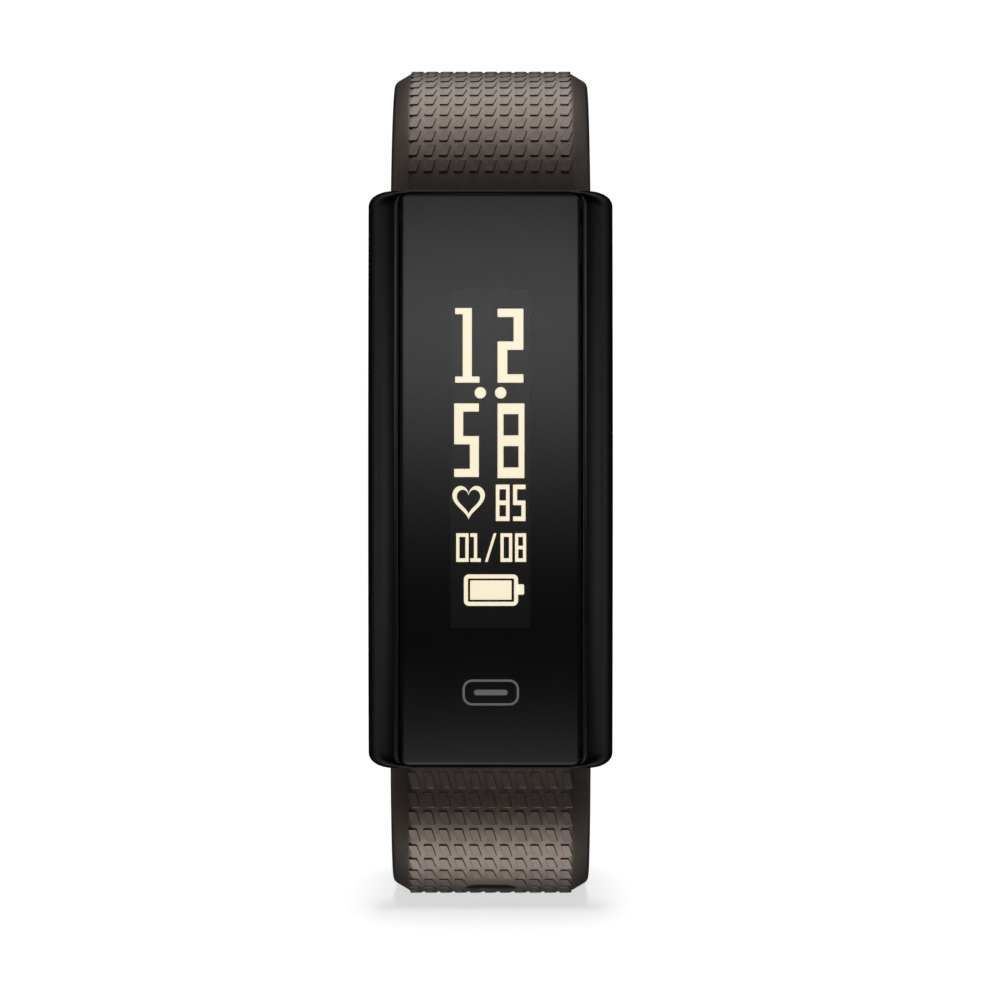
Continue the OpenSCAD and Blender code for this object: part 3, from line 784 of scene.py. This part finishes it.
lower_skin = strap_body("lower_strap_skin", lower_route, True)
combine(lower_skin, across(BAR_BORE, FAR, lower_axis), "DIFFERENCE", STRAP_SHARP)
for stop in hole_stops:
    combine(lower_skin, placed_copy(hole_cutter(), lower_route.station(stop)), "DIFFERENCE", STRAP_SHARP)
lower_rows = pad_rows(lower_route, LOWER_BARE_START, lower_route.length - LOWER_BARE_END)
add_pads(lower_skin, lower_route, lower_rows, near_hole)

for skin, body, node in ((upper_skin, "upper_strap", "upper_strap"),
                         (lower_skin, "lower_strap", "lower_strap")):
    wear(skin, finish["strap_satin"])
    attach(skin, body)
    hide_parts(node)

# %% [markdown]
# ## The case
# The case is one piano-black moulding: an arched front, quarter-round cheeks on both sides,
# and softly turned shoulders at the ends. It starts as a block with its long edges bevelled.
# Cross cuts then give it enough rings for every vertex to be moved onto the arch and in at the
# shoulders, which keeps the long reflections smooth.

# %% Shape the outside of the case
FRONT_R = 160 * MM
CHEEK_R = 2.6 * MM
BACK_EDGE_R = 1.0 * MM
SHOULDER_LEN = 1.2 * MM
SHOULDER_IN = 1.8 * MM
END_ROUND = 0.45 * MM
LUG_R = 2.6 * MM
ARCH_STEP_MM = 1.5
CASE_SHARP = 30
half_len = case_high.z


def arch_depth(z):
    return FRONT_R - math.sqrt(FRONT_R ** 2 - z ** 2)


def quarter(into, radius):
    into = min(max(into / radius, 0), 1)
    return 1 - math.sqrt(1 - into ** 2)


def slice_along(bm, axis, places):
    normal = Matrix.Identity(3)[axis]
    for place in places:
        bmesh.ops.bisect_plane(bm, geom=bm.verts[:] + bm.edges[:] + bm.faces[:],
                               plane_co=normal * place, plane_no=normal)


def arch_places(count):
    return [k * ARCH_STEP_MM * MM for k in range(-count, count + 1)]


def end_places(length, reach, count=7):
    turns = [math.sin(QUARTER * k / count) for k in range(count)]
    return [sign * (length - reach + reach * turn) for turn in turns for sign in (-1, 1)]


def case_block():
    bm = box_bm(case_low, case_high)
    middle_y = (case_low.y + case_high.y) / 2
    round_edges(bm, edges_along(bm, 2, lambda m: m.y < middle_y), CHEEK_R, 14)
    round_edges(bm, edges_along(bm, 2, lambda m: m.y > middle_y), BACK_EDGE_R, 5)
    slice_along(bm, 2, arch_places(13))
    slice_along(bm, 2, end_places(half_len, SHOULDER_LEN) + end_places(half_len, LUG_R))
    for vert in bm.verts:
        x, y, z = vert.co
        end = abs(z) - half_len
        if y < middle_y:
            vert.co.y += arch_depth(z) + END_ROUND * quarter(end + END_ROUND, END_ROUND)
        else:
            vert.co.y -= LUG_R * quarter(end + LUG_R, LUG_R)
        vert.co.x -= math.copysign(SHOULDER_IN * quarter(end + SHOULDER_LEN, SHOULDER_LEN), x)
    return bm


front_shell = make_object("front_case_shell", case_block(), CASE_SHARP)
print("case block:", len(front_shell.data.vertices), "vertices")

# %% [markdown]
# ## Opening the case
# The mould's cores leave the pocket for each strap, the bed of the lens, the window for the
# display, the room for the board and the battery, and the step that the rear cover sits in.
# Each is cut with a plain block or rod, and the last bevel softens the edges that the cuts leave.

# %% Cut the pockets, the lens bed and the inside
SHELF_T = 1.0 * MM
SEAL_T = 0.4 * MM
LENS_GAP = 0.05 * MM
PANEL_GAP = 0.1 * MM
COVER_GAP = 0.08 * MM
LENS_CORNER = 0.7 * MM
RIM_R = 0.32 * MM
LAND = 0.4 * MM
POCKET_HALF_W = STRAP_HALF_W + 0.12 * MM
POCKET_R = KNUCKLE_R + 0.12 * MM
SIDE_WALL = 2.3 * MM
BOSS_R = 1.35 * MM
TIP_BORE = 0.43 * MM
TIP_REACH = POCKET_HALF_W + 1.1 * MM
shelf_front = panel_low.y
shelf_back = shelf_front + SHELF_T
ledge_y = cover_low.y - SEAL_T
inner_w = case_high.x - SIDE_WALL
inner_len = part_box("main_board")[1].z + 0.15 * MM
boss_x, boss_z = inner_w - 0.2 * MM, inner_len - 1.2 * MM


def slab(half_x, half_z, y0, y1, corner=0.0, middle_z=0.0):
    bm = box_bm((-half_x, y0, middle_z - half_z), (half_x, y1, middle_z + half_z))
    if corner:
        round_edges(bm, edges_along(bm, 1), corner, 6)
    return bm


def lens_bed():
    bm = slab(lens_high.x + LENS_GAP, lens_high.z + LENS_GAP, case_low.y - MM, lens_high.y, LENS_CORNER)
    slice_along(bm, 2, arch_places(15))
    slice_along(bm, 1, [case_low.y + RIM_R * k / 6 for k in range(7)])
    for vert in bm.verts:
        depth = (vert.co.y - case_low.y) / RIM_R
        if depth < 1.01:
            vert.co.x += math.copysign(RIM_R * quarter(1 - max(depth, 0), 1), vert.co.x)
            vert.co.y += arch_depth(vert.co.z)
    return bm


def cut(bm):
    combine(front_shell, bm, "DIFFERENCE", CASE_SHARP)


cut(lens_bed())
cut(slab(lens_high.x - LAND, lens_high.z - LAND, lens_high.y - MM, shelf_front, LENS_CORNER))
panel_mid_z = (panel_low.z + panel_high.z) / 2
panel_half_z = (panel_high.z - panel_low.z) / 2
cut(slab(panel_high.x + PANEL_GAP, panel_half_z + PANEL_GAP, shelf_front - MM, shelf_back + MM,
         0, panel_mid_z))
cut(slab(inner_w, inner_len, shelf_back, ledge_y + MM))
for side_x in (-1, 1):
    for side_z in (-1, 1):
        boss_at = Vector((side_x * boss_x, 0, side_z * boss_z))
        boss_front = boss_at + Vector((0, shelf_back - MM / 2, 0))
        boss = rod_bm(BOSS_R, boss_front, boss_at + Vector((0, ledge_y, 0)))
        combine(front_shell, boss, "UNION", CASE_SHARP)
cut(slab(cover_high.x + COVER_GAP, cover_high.z + COVER_GAP, ledge_y, FAR))
for route in (upper_route, lower_route):
    side = route.side
    floor_z, far_z = side * (abs(route.axis.z) - POCKET_R), side * FAR
    low = Vector((-POCKET_HALF_W, route.axis.y - POCKET_R, min(floor_z, far_z)))
    cut(box_bm(low, (POCKET_HALF_W, FAR, max(floor_z, far_z))))
    cut(across(TIP_BORE, TIP_REACH, route.axis))
soften(front_shell, 0.12 * MM, 2)
wear(front_shell, finish["gloss_black"])
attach(front_shell, "case")
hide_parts("front_case")
print("case:", len(front_shell.data.polygons), "faces")

# %% [markdown]
# ## The lens
# The lens is a thick strip of plastic with a flat back and an arched, softly edged front. It is
# clear in front of the display and the touch key, and black everywhere else. The same slicing
# and arching as on the case makes it follow the case's front, with a slight fall at both sides.

# %% Make the lens
LENS_SOFT = 0.12 * MM
EDGE_FALL_W = 0.35 * MM
EDGE_FALL = 0.04 * MM


def lens_block():
    bm = box_bm(lens_low, lens_high)
    round_edges(bm, edges_along(bm, 1), LENS_CORNER, 8)
    slice_along(bm, 2, arch_places(15))
    slice_along(bm, 0, [side * (lens_high.x - EDGE_FALL_W * k / 5)
                        for side in (-1, 1) for k in range(1, 6)])
    front = [v for v in bm.verts if v.co.y < lens_low.y + MM]
    for vert in front:
        fall = min(max((abs(vert.co.x) - lens_high.x) / EDGE_FALL_W + 1, 0), 1)
        vert.co.y = case_low.y + arch_depth(vert.co.z) + EDGE_FALL * fall ** 2
    rim = [e for e in bm.edges if e.verts[0] in set(front) and e.verts[1] in set(front)
           and e.calc_face_angle(0) > 1.0]
    round_edges(bm, rim, LENS_SOFT, 5)
    return bm


lens_glass = make_object("lens_glass", lens_block(), 50)
wear(lens_glass, finish["lens_smoke"])
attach(lens_glass, "case")
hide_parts("lens")
print("lens:", len(lens_glass.data.polygons), "faces")

# %% [markdown]
# ## Behind the lens
# Black ink on the lens's back hides the inside and leaves a window for the display. The ink and
# the display touch the glass, because on the real tracker they are bonded to it with clear glue
# and no second reflection shows. Here they sit a hair inside the glass for the same reason.

# %% Make the ink layer and the display's face
BOND = 0.05 * MM
INK_CORNER, WINDOW_CORNER = 0.5 * MM, 0.3 * MM
window_mid = (WINDOW_TOP + WINDOW_LOW) / 2
window_half = (WINDOW_TOP - WINDOW_LOW) / 2
ink_front = lens_high.y - BOND

ink_layer = make_object("lens_ink", slab(lens_high.x - LAND, lens_high.z - LAND, ink_front,
                                         lens_high.y, INK_CORNER))
opening = slab(WINDOW_HALF_W, window_half, -FAR, FAR, WINDOW_CORNER, window_mid)
combine(ink_layer, opening, "DIFFERENCE")
# The display's face wears a finish with a faint painted glow.
screen = make_object("display_face", slab(WINDOW_HALF_W, window_half, ink_front + BOND / 4,
                                          lens_high.y, WINDOW_CORNER, window_mid))
for piece, look, slot in ((ink_layer, "ink_black", "adhesive_black"),
                          (screen, "panel_glass_painted_glow", "display_panel")):
    wear(piece, finish[look])
    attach(piece, "case")

# %% [markdown]
# ## The lit figures
# The display shows a clock, a heart with a rate, a date and a battery. Each figure is drawn on a
# coarse grid, as a display's font is: a plane is cut into a few columns and rows of chosen
# widths, the dark cells are deleted, and the rest is pulled up to a thin plate that glows.

# %% Draw a figure on a grid
GLOW_T = 0.03 * MM
glow_front = ink_front - GLOW_T / 2
SHAPES = {
    "0": ["###", "#.#", "#.#", "#.#", "###"], "1": ["##.", ".#.", ".#.", ".#.", "###"],
    "2": ["###", "..#", "###", "#..", "###"], "5": ["###", "#..", "###", "..#", "###"],
    "8": ["###", "#.#", "###", "#.#", "###"],
}


def spread(low, high, strokes):
    """Cuts a span into cells whose widths are given, where None takes an equal share of the rest."""
    rest = (high - low) - sum(s for s in strokes if s is not None)
    share = rest / max(1, strokes.count(None))
    cuts = [low]
    for stroke in strokes:
        cuts.append(cuts[-1] + (share if stroke is None else stroke))
    return cuts


def figure(name, shape, left, right, low, high, stem, bar):
    columns = spread(left, right, [stem, None, stem] if name != "1" else [None, stem, None])
    rows = spread(low, high, [bar, None, bar, None, bar])
    bm = bmesh.new()
    bmesh.ops.create_grid(bm, x_segments=3, y_segments=5, size=1)
    for vert in bm.verts:
        column, row = round((vert.co.x + 1) * 1.5), round((vert.co.y + 1) * 2.5)
        vert.co = Vector((columns[column], glow_front, rows[row]))
    dark = []
    for face in bm.faces:
        middle = face.calc_center_median()
        column = sum(middle.x > c for c in columns) - 1
        row = 4 - (sum(middle.z > r for r in rows) - 1)
        if shape[row][column] == ".":
            dark.append(face)
    bmesh.ops.delete(bm, geom=dark, context="FACES")
    thicken(bm)
    return bm


def thicken(bm):
    grown = bmesh.ops.extrude_face_region(bm, geom=bm.faces[:])["geom"]
    lifted = [g for g in grown if isinstance(g, bmesh.types.BMVert)]
    bmesh.ops.translate(bm, vec=(0, GLOW_T, 0), verts=lifted)
    bmesh.ops.recalc_face_normals(bm, faces=bm.faces)


# %% Draw plates, frames, dots and a heart
def plate(left, right, low, high, corner=0.0, slant=0.0):
    bm = bmesh.new()
    bmesh.ops.create_grid(bm, x_segments=1, y_segments=1, size=0.5)
    for vert in bm.verts:
        x = (left + right) / 2 + vert.co.x * (right - left) + vert.co.y * slant
        vert.co = Vector((x, glow_front, (low + high) / 2 + vert.co.y * (high - low)))
    if corner:
        bmesh.ops.bevel(bm, geom=bm.verts[:], offset=corner, segments=8, profile=0.5,
                        affect="VERTICES", material=-1)
    return bm


def hollow(bm, stroke):
    inner = bmesh.ops.inset_region(bm, faces=bm.faces[:], thickness=stroke, use_even_offset=True,
                                    use_boundary=True)["faces"]
    core = [f for f in bm.faces if f not in set(inner)]
    bmesh.ops.delete(bm, geom=core, context="FACES")
    return bm


def dot(x, z, radius):
    bm = bmesh.new()
    bmesh.ops.create_circle(bm, cap_ends=True, segments=32, radius=radius)
    for vert in bm.verts:
        vert.co = Vector((x + vert.co.x, glow_front, z + vert.co.y))
    return bm


def heart(left, right, low, high, stroke):
    bm = bmesh.new()
    for inset in (0, stroke):
        ring = bmesh.ops.create_circle(bm, segments=64, radius=1)["verts"]
        for vert in ring:
            t = math.atan2(vert.co.x, vert.co.y)
            x = math.sin(t) ** 3 / 2
            z = (13 * math.cos(t) - 5 * math.cos(2 * t) - 2 * math.cos(3 * t) - math.cos(4 * t) + 17) / 28.9
            x = (left + right) / 2 + x * (right - left - 2.2 * inset)
            z = low + 1.35 * inset + z * (high - low - 2.25 * inset)
            vert.co = Vector((x, glow_front, z))
    bmesh.ops.bridge_loops(bm, edges=bm.edges[:])
    return bm


def gather(name, plates):
    whole = bmesh.new()
    for bm in plates:
        thicken(bm)
        part = bpy.data.meshes.new("part")
        bm.to_mesh(part)
        bm.free()
        whole.from_mesh(part)
    return make_object(name, whole)


# %% Lay out the display
CLOCK = [("1", -2.82, -0.88, 7.70, 13.64, 0.72, 0.48), ("2", 0.57, 2.62, 7.70, 13.59, 0.77, 0.66),
         ("5", -2.89, -0.93, 0.20, 6.04, 0.71, 0.64), ("8", 0.57, 2.70, 0.11, 6.04, 0.46, 0.84)]
RATE = [("8", 0.43, 1.52, -3.30, -0.41, 0.28, 0.36), ("5", 1.80, 2.79, -3.30, -0.41, 0.32, 0.36)]
DATE = [("0", -2.73, -1.75), ("1", -1.61, -0.77), ("0", 0.80, 1.73), ("8", 1.96, 2.84)]
DATE_ROW = (-6.55, -4.28, 0.25, 0.28)
LINE = 0.32 * MM

lit = []
for name, *sizes in CLOCK + RATE + [(name, left, right, *DATE_ROW) for name, left, right in DATE]:
    lit.append(figure(name, SHAPES[name], *[size * MM for size in sizes]))
lit += [dot(x * MM, 6.89 * MM, 0.45 * MM) for x in (-0.81, 0.81)]
lit.append(heart(-3.04 * MM, -0.45 * MM, -3.2 * MM, -0.52 * MM, LINE))
lit.append(plate(-0.09 * MM, 0.12 * MM, -6.55 * MM, -4.28 * MM, 0, 0.7 * MM))
lit.append(hollow(plate(-2.12 * MM, 2.2 * MM, -10.05 * MM, -7.55 * MM, 0.4 * MM), LINE))
lit.append(plate(-1.62 * MM, 1.68 * MM, -9.56 * MM, -8.03 * MM, 0.06 * MM))
lit.append(plate(2.15 * MM, 2.68 * MM, -9.16 * MM, -8.34 * MM, 0.12 * MM))
display_figures = gather("display_figures", lit)
wear(display_figures, finish["figure_glow"])

# The touch key's mark is printed grey, and its finish adds a painted glow.
key_outline = plate(-2.23 * MM, 2.28 * MM, KEY_MIDDLE - 1.04 * MM, KEY_MIDDLE + 1.04 * MM, 0.77 * MM)
key_bar = plate(-1.32 * MM, 1.36 * MM, KEY_MIDDLE - 0.22 * MM, KEY_MIDDLE + 0.22 * MM, 0.21 * MM)
touch_mark = gather("touch_mark", [hollow(key_outline, 0.18 * MM), key_bar])
wear(touch_mark, finish["icon_grey_painted_glow"])
for piece in (display_figures, touch_mark):
    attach(piece, "case")
print("figures:", len(display_figures.data.polygons), "faces")

# %% [markdown]
# ## The buckle
# A cast frame turns on the strap's bar: two rails with round eyes and a crossbar that the tail of
# the other strap runs under. It is joined from a block, its opening and the two eyes, and one
# wide bevel gives the tumbled, rounded edges that such a casting has. The tang is made the same
# way, with a dip in the crossbar to rest in.

# %% Build the buckle frame and the tang
BUCKLE_GAP = 0.2 * MM
RAIL_IN = STRAP_HALF_W + BUCKLE_GAP
FRAME_HALF_T = 1.1 * MM
CROSSBAR_W = 1.8 * MM
BAR_SEAT = 0.4 * MM
TANG_REST = 1.7 * MM
TANG_DIP = 1.1 * MM
TANG_T = 1.05 * MM
TANG_TIP_R = 0.9 * MM
TANG_EYE_R = 1.45 * MM
FRAME_CORNER = 2.4 * MM
frame_low, frame_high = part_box("buckle_frame")
tang_low, tang_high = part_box("buckle_tang")


def near_bar(x, y, z):
    return buckle_axis + Vector((x, y, z))


def eye(x0, x1, radius):
    return rod_bm(radius, near_bar(x0, 0, 0), near_bar(x1, 0, 0))


def build_buckle():
    reach = buckle_axis.z - frame_low.z
    outer = box_bm(near_bar(frame_low.x, -FRAME_HALF_T, -reach), near_bar(frame_high.x, FRAME_HALF_T, 0))
    round_edges(outer, edges_along(outer, 1, lambda m: m.z < buckle_axis.z - reach / 2), FRAME_CORNER, 8)
    buckle = make_object("buckle_loop", outer)
    window = box_bm(near_bar(-RAIL_IN, -FAR, CROSSBAR_W - reach), near_bar(RAIL_IN, FAR, FAR))
    round_edges(window, edges_along(window, 1, lambda m: m.z < buckle_axis.z), 1.0 * MM, 6)
    combine(buckle, window, "DIFFERENCE")
    for x0, x1 in ((frame_low.x, -RAIL_IN), (RAIL_IN, frame_high.x)):
        combine(buckle, eye(x0, x1, END_R), "UNION")
    combine(buckle, eye(frame_low.x + BAR_SEAT, frame_high.x - BAR_SEAT, BAR_BORE), "DIFFERENCE")
    rest = box_bm(Vector((-TANG_REST, tang_high.y - TANG_DIP, -FAR)), (TANG_REST, FAR, FAR))
    combine(buckle, rest, "DIFFERENCE")
    soften(buckle, 0.35 * MM, 3)
    return buckle


def build_tang():
    under = tang_high.y - TANG_T
    blade = box_bm((tang_low.x, under, tang_low.z), (tang_high.x, tang_high.y, buckle_axis.z))
    round_edges(blade, edges_along(blade, 1, lambda m: m.z < buckle_axis.z - MM), TANG_TIP_R, 6)
    tang = make_object("tang_blade", blade)
    combine(tang, eye(tang_low.x, tang_high.x, TANG_EYE_R), "UNION")
    combine(tang, eye(-FAR, FAR, BUCKLE_BORE), "DIFFERENCE")
    soften(tang, 0.2 * MM, 3)
    return tang


buckle_loop, tang_blade = build_buckle(), build_tang()
for piece, body, node in ((buckle_loop, "buckle", "buckle_frame"), (tang_blade, "tang", "buckle_tang")):
    wear(piece, finish["buckle_steel"])
    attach(piece, body)
    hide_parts(node)

# %% [markdown]
# ## The keeper
# The keeper is a soft loop that holds the tail down. It is a block with big corners and a
# rounded opening, and it slides along the straight end of the upper strap.

# %% Build the keeper
keeper_low, keeper_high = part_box("keeper")
KEEPER_WALL = 1.0 * MM
wall = Vector((KEEPER_WALL, KEEPER_WALL, 0))
loop = box_bm(keeper_low, keeper_high)
round_edges(loop, edges_along(loop, 2), 1.4 * MM, 8)
keeper_loop = make_object("keeper_loop", loop)
inside = box_bm(keeper_low + wall - Vector((0, 0, MM)), keeper_high - wall + Vector((0, 0, MM)))
round_edges(inside, edges_along(inside, 2), 0.5 * MM, 5)
combine(keeper_loop, inside, "DIFFERENCE")
soften(keeper_loop, 0.28 * MM, 3)
wear(keeper_loop, finish["strap_satin"])
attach(keeper_loop, "keeper")
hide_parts("keeper")

# %% [markdown]
# ## The back of the case
# The rear cover, the pieces set in it and the buckle's bar already have the right shape in the
# engineering model, but every edge there is knife-sharp. A copy of such a node has its loose
# triangles merged and its flat faces joined, and a small bevel then catches the light as a real
# edge does.

# %% Soften copies of the engineering nodes
body_of = {node: body for body, nodes in frame["record"]["behaviour"]["bodies"].items() for node in nodes}
slot_of = {part["node"]: part["material_slot"] for part in frame["record"]["subparts"]}


def softened_copy(node, name, look, width, segments=2):
    bm = bmesh.new()
    bm.from_mesh(frame["nodes"][node].data)
    bmesh.ops.remove_doubles(bm, verts=bm.verts, dist=0.0005 * MM)
    bmesh.ops.dissolve_limit(bm, angle_limit=math.radians(1), verts=bm.verts, edges=bm.edges)
    piece = make_object(name, bm)
    soften(piece, width, segments, sharp=28)
    wear(piece, finish[look])
    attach(piece, body_of[node])
    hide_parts(node)
    return piece


softened_copy("rear_cover", "rear_cover_shell", "matte_black", 0.15 * MM, 3)
softened_copy("cover_screws", "screw_heads", "bar_steel", 0.05 * MM)
softened_copy("charge_contacts", "contact_pins", "gold_plate", 0.12 * MM)
softened_copy("sensor_window", "sensor_glass", "window_smoke", 0.3 * MM, 4)
softened_copy("light_shield", "light_ring", "matte_black", 0.06 * MM)
softened_copy("sensor_leds", "sensor_lamps", "led_green", 0.08 * MM)
softened_copy("photodiode", "light_sensor", "diode_dark", 0.06 * MM)
softened_copy("buckle_bar", "buckle_pin", "bar_steel", 0.1 * MM)

# %% [markdown]
# ## Everything inside
# The parts inside keep the engineering model's shape, because nobody sees them until the band is
# opened. Each one still gets the finish of its material.

# %% Dress the nodes that stay
LOOKS = {
    "adhesive_black": "ink_black", "display_panel": "panel_glass_painted_glow", "foam_black": "foam_black",
    "flex_amber": "ribbon", "contact_gold": "gold_plate", "board_green": "board_mask",
    "tin_plate": "tin_plate", "chip_black": "chip_black", "ceramic_white": "ceramic",
    "battery_foil": "foil", "foam_white": "foam", "weight_metal": "weight_metal",
    "seal_grey": "seal_grey", "bar_steel": "bar_steel",
}
for node, piece in frame["nodes"].items():
    if not piece.hide_render:
        wear(piece, finish[LOOKS[slot_of[node]]])
print("shown nodes:", sum(not piece.hide_render for piece in frame["nodes"].values()))

# %% [markdown]
# ## The light
# A dark glossy thing is lit by what it reflects. Two soft spots in front, one high and one low,
# fade along the lens, and two at the sides draw a line down each cheek. Two weak, wide ones
# behind, high and low, only fill the curves of the straps. All of them are painted on the world
# as smooth spots, so no hard edge of a lamp shows in the gloss.

# %% Paint soft lamps on the world
world = bpy.data.worlds.new("studio")
bpy.context.scene.world = world
world.use_nodes = True
sky = world.node_tree
background = sky.nodes["Background"]
background.inputs["Strength"].default_value = 1.0
direction = sky.nodes.new("ShaderNodeTexCoord")


def sky_math(operation, first, second=None):
    node = sky.nodes.new("ShaderNodeMath")
    node.operation = operation
    for socket, value in zip(node.inputs, (first, second)):
        if value is None:
            continue
        if isinstance(value, (int, float)):
            socket.default_value = value
        else:
            sky.links.new(value, socket)
    return node.outputs[0]


FALL_OFF = 0.7


def soft_lamp(azimuth, elevation, width, height, strength):
    """A smooth spot. Azimuth 0 is in front, 90 at the right; width and height are in degrees."""
    a, e = math.radians(azimuth), math.radians(elevation)
    aim = Vector((math.sin(a) * math.cos(e), -math.cos(a) * math.cos(e), math.sin(e)))
    across_aim = Vector((math.cos(a), math.sin(a), 0))
    up = aim.cross(across_aim)
    parts = []
    for axis, size in ((across_aim, width), (up, height)):
        dot_product = sky.nodes.new("ShaderNodeVectorMath")
        dot_product.operation = "DOT_PRODUCT"
        dot_product.inputs[1].default_value = axis
        sky.links.new(direction.outputs["Generated"], dot_product.inputs[0])
        share = sky_math("DIVIDE", dot_product.outputs["Value"], math.sin(math.radians(min(size, 89))))
        parts.append(sky_math("POWER", sky_math("ABSOLUTE", share), 2.0))
    facing = sky.nodes.new("ShaderNodeVectorMath")
    facing.operation = "DOT_PRODUCT"
    facing.inputs[1].default_value = aim
    sky.links.new(direction.outputs["Generated"], facing.inputs[0])
    spot = sky_math("POWER", math.e, sky_math("MULTIPLY", sky_math("ADD", *parts), -FALL_OFF))
    front_only = sky_math("GREATER_THAN", facing.outputs["Value"], 0.0)
    return sky_math("MULTIPLY", sky_math("MULTIPLY", spot, front_only), strength)


LAMPS = [(0, 11.2, 8, 8.7, 1.52), (0, -28, 8, 7, 1.55), (60, 0, 23, 12, 0.5), (-60, 0, 23, 12, 0.5),
         (180, 66, 60, 13, 0.4), (180, -66, 60, 13, 0.4)]
SKY_GLOW = 0.004
total = SKY_GLOW
for lamp in LAMPS:
    total = sky_math("ADD", soft_lamp(*lamp), total)
sky.links.new(total, background.inputs["Color"])

# %% [markdown]
# ## The lamps for the straps and the back
# Two broad lamps, one high and one low, graze the curves of the straps. In a studio a black card
# would keep them off the glossy case. Here each lamp is linked to one strap, so that it lights
# nothing else. A third lamp lights what faces away, and it leaves out the case, the lens and the
# upper strap, whose top it would make too bright.

# %% Add the linked lamps
STRAP_LAMPS = [("lamp_high", 60, 46, 0.82, [upper_skin]),
               ("lamp_low", -80, 42, 0.78, [lower_skin])]


def add_sun(name, elevation, spread_angle, strength, lit_pieces):
    sun = bpy.data.lights.new(name, "SUN")
    sun.energy = strength
    sun.angle = math.radians(spread_angle)
    lamp = bpy.data.objects.new(name, sun)
    bpy.context.collection.objects.link(lamp)
    e = math.radians(elevation)
    lamp.rotation_euler = Vector((0, math.cos(e), math.sin(e))).to_track_quat("Z", "X").to_euler()
    receivers = bpy.data.collections.new(name + "_lights")
    for piece in lit_pieces:
        receivers.objects.link(piece)
    lamp.light_linking.receiver_collection = receivers


for lamp in STRAP_LAMPS:
    add_sun(*lamp)
seen_in_front = (front_shell, lens_glass, upper_skin)
behind = [piece for piece in bpy.data.objects if piece.type == "MESH" and piece not in seen_in_front]
add_sun("lamp_back", 25, 60, 0.9, behind)

# %% [markdown]
# ## The floor and the backdrop
# The band stands on a pale floor in front of a pale backdrop. Both glow, so that they
# stay evenly white, and both are hidden from reflections and let light through, or the black
# case would mirror them and the lamp below would be covered. Five narrow lamps, in an arc from
# a little behind to a little in front, light the floor alone, so that the shadow fades outwards.

# %% Make the stage
ROOM = 1.5
FLOOR_LAMPS = (65, 75, 85, 95, 105)


def pale(name, color, glow):
    material = new_finish(name, color, 0.6)
    set_glow(material, (1, 1, 1), glow)
    set_mirror(material, 0.0)
    return material


def stage_piece(name, bm, material):
    piece = make_object(name, bm)
    wear(piece, material)
    for ray in ("visible_diffuse", "visible_glossy", "visible_transmission", "visible_shadow"):
        setattr(piece, ray, False)
    piece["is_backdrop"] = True
    return piece


dome = bmesh.new()
bmesh.ops.create_uvsphere(dome, u_segments=48, v_segments=24, radius=ROOM)
stage_piece("backdrop", dome, pale("pale_backdrop", (0, 0, 0), 1.05))
ground = bmesh.new()
bmesh.ops.create_circle(ground, cap_ends=True, segments=96, radius=0.95 * ROOM)
bmesh.ops.translate(ground, vec=(0, 0, cad_low.z - 0.02 * MM), verts=ground.verts)
floor = stage_piece("floor", ground, pale("pale_floor", (0.8, 0.8, 0.8), 0.64))
for elevation in FLOOR_LAMPS:
    add_sun(f"lamp_floor_{elevation}", elevation, 12, 0.285, [floor])

# %% Print how far the pieces reach past the engineering model
low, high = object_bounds()
print("grew by, mm:", [round((a - b) / MM, 3) for a, b in zip((*low, *high), (*cad_low, *cad_high))])
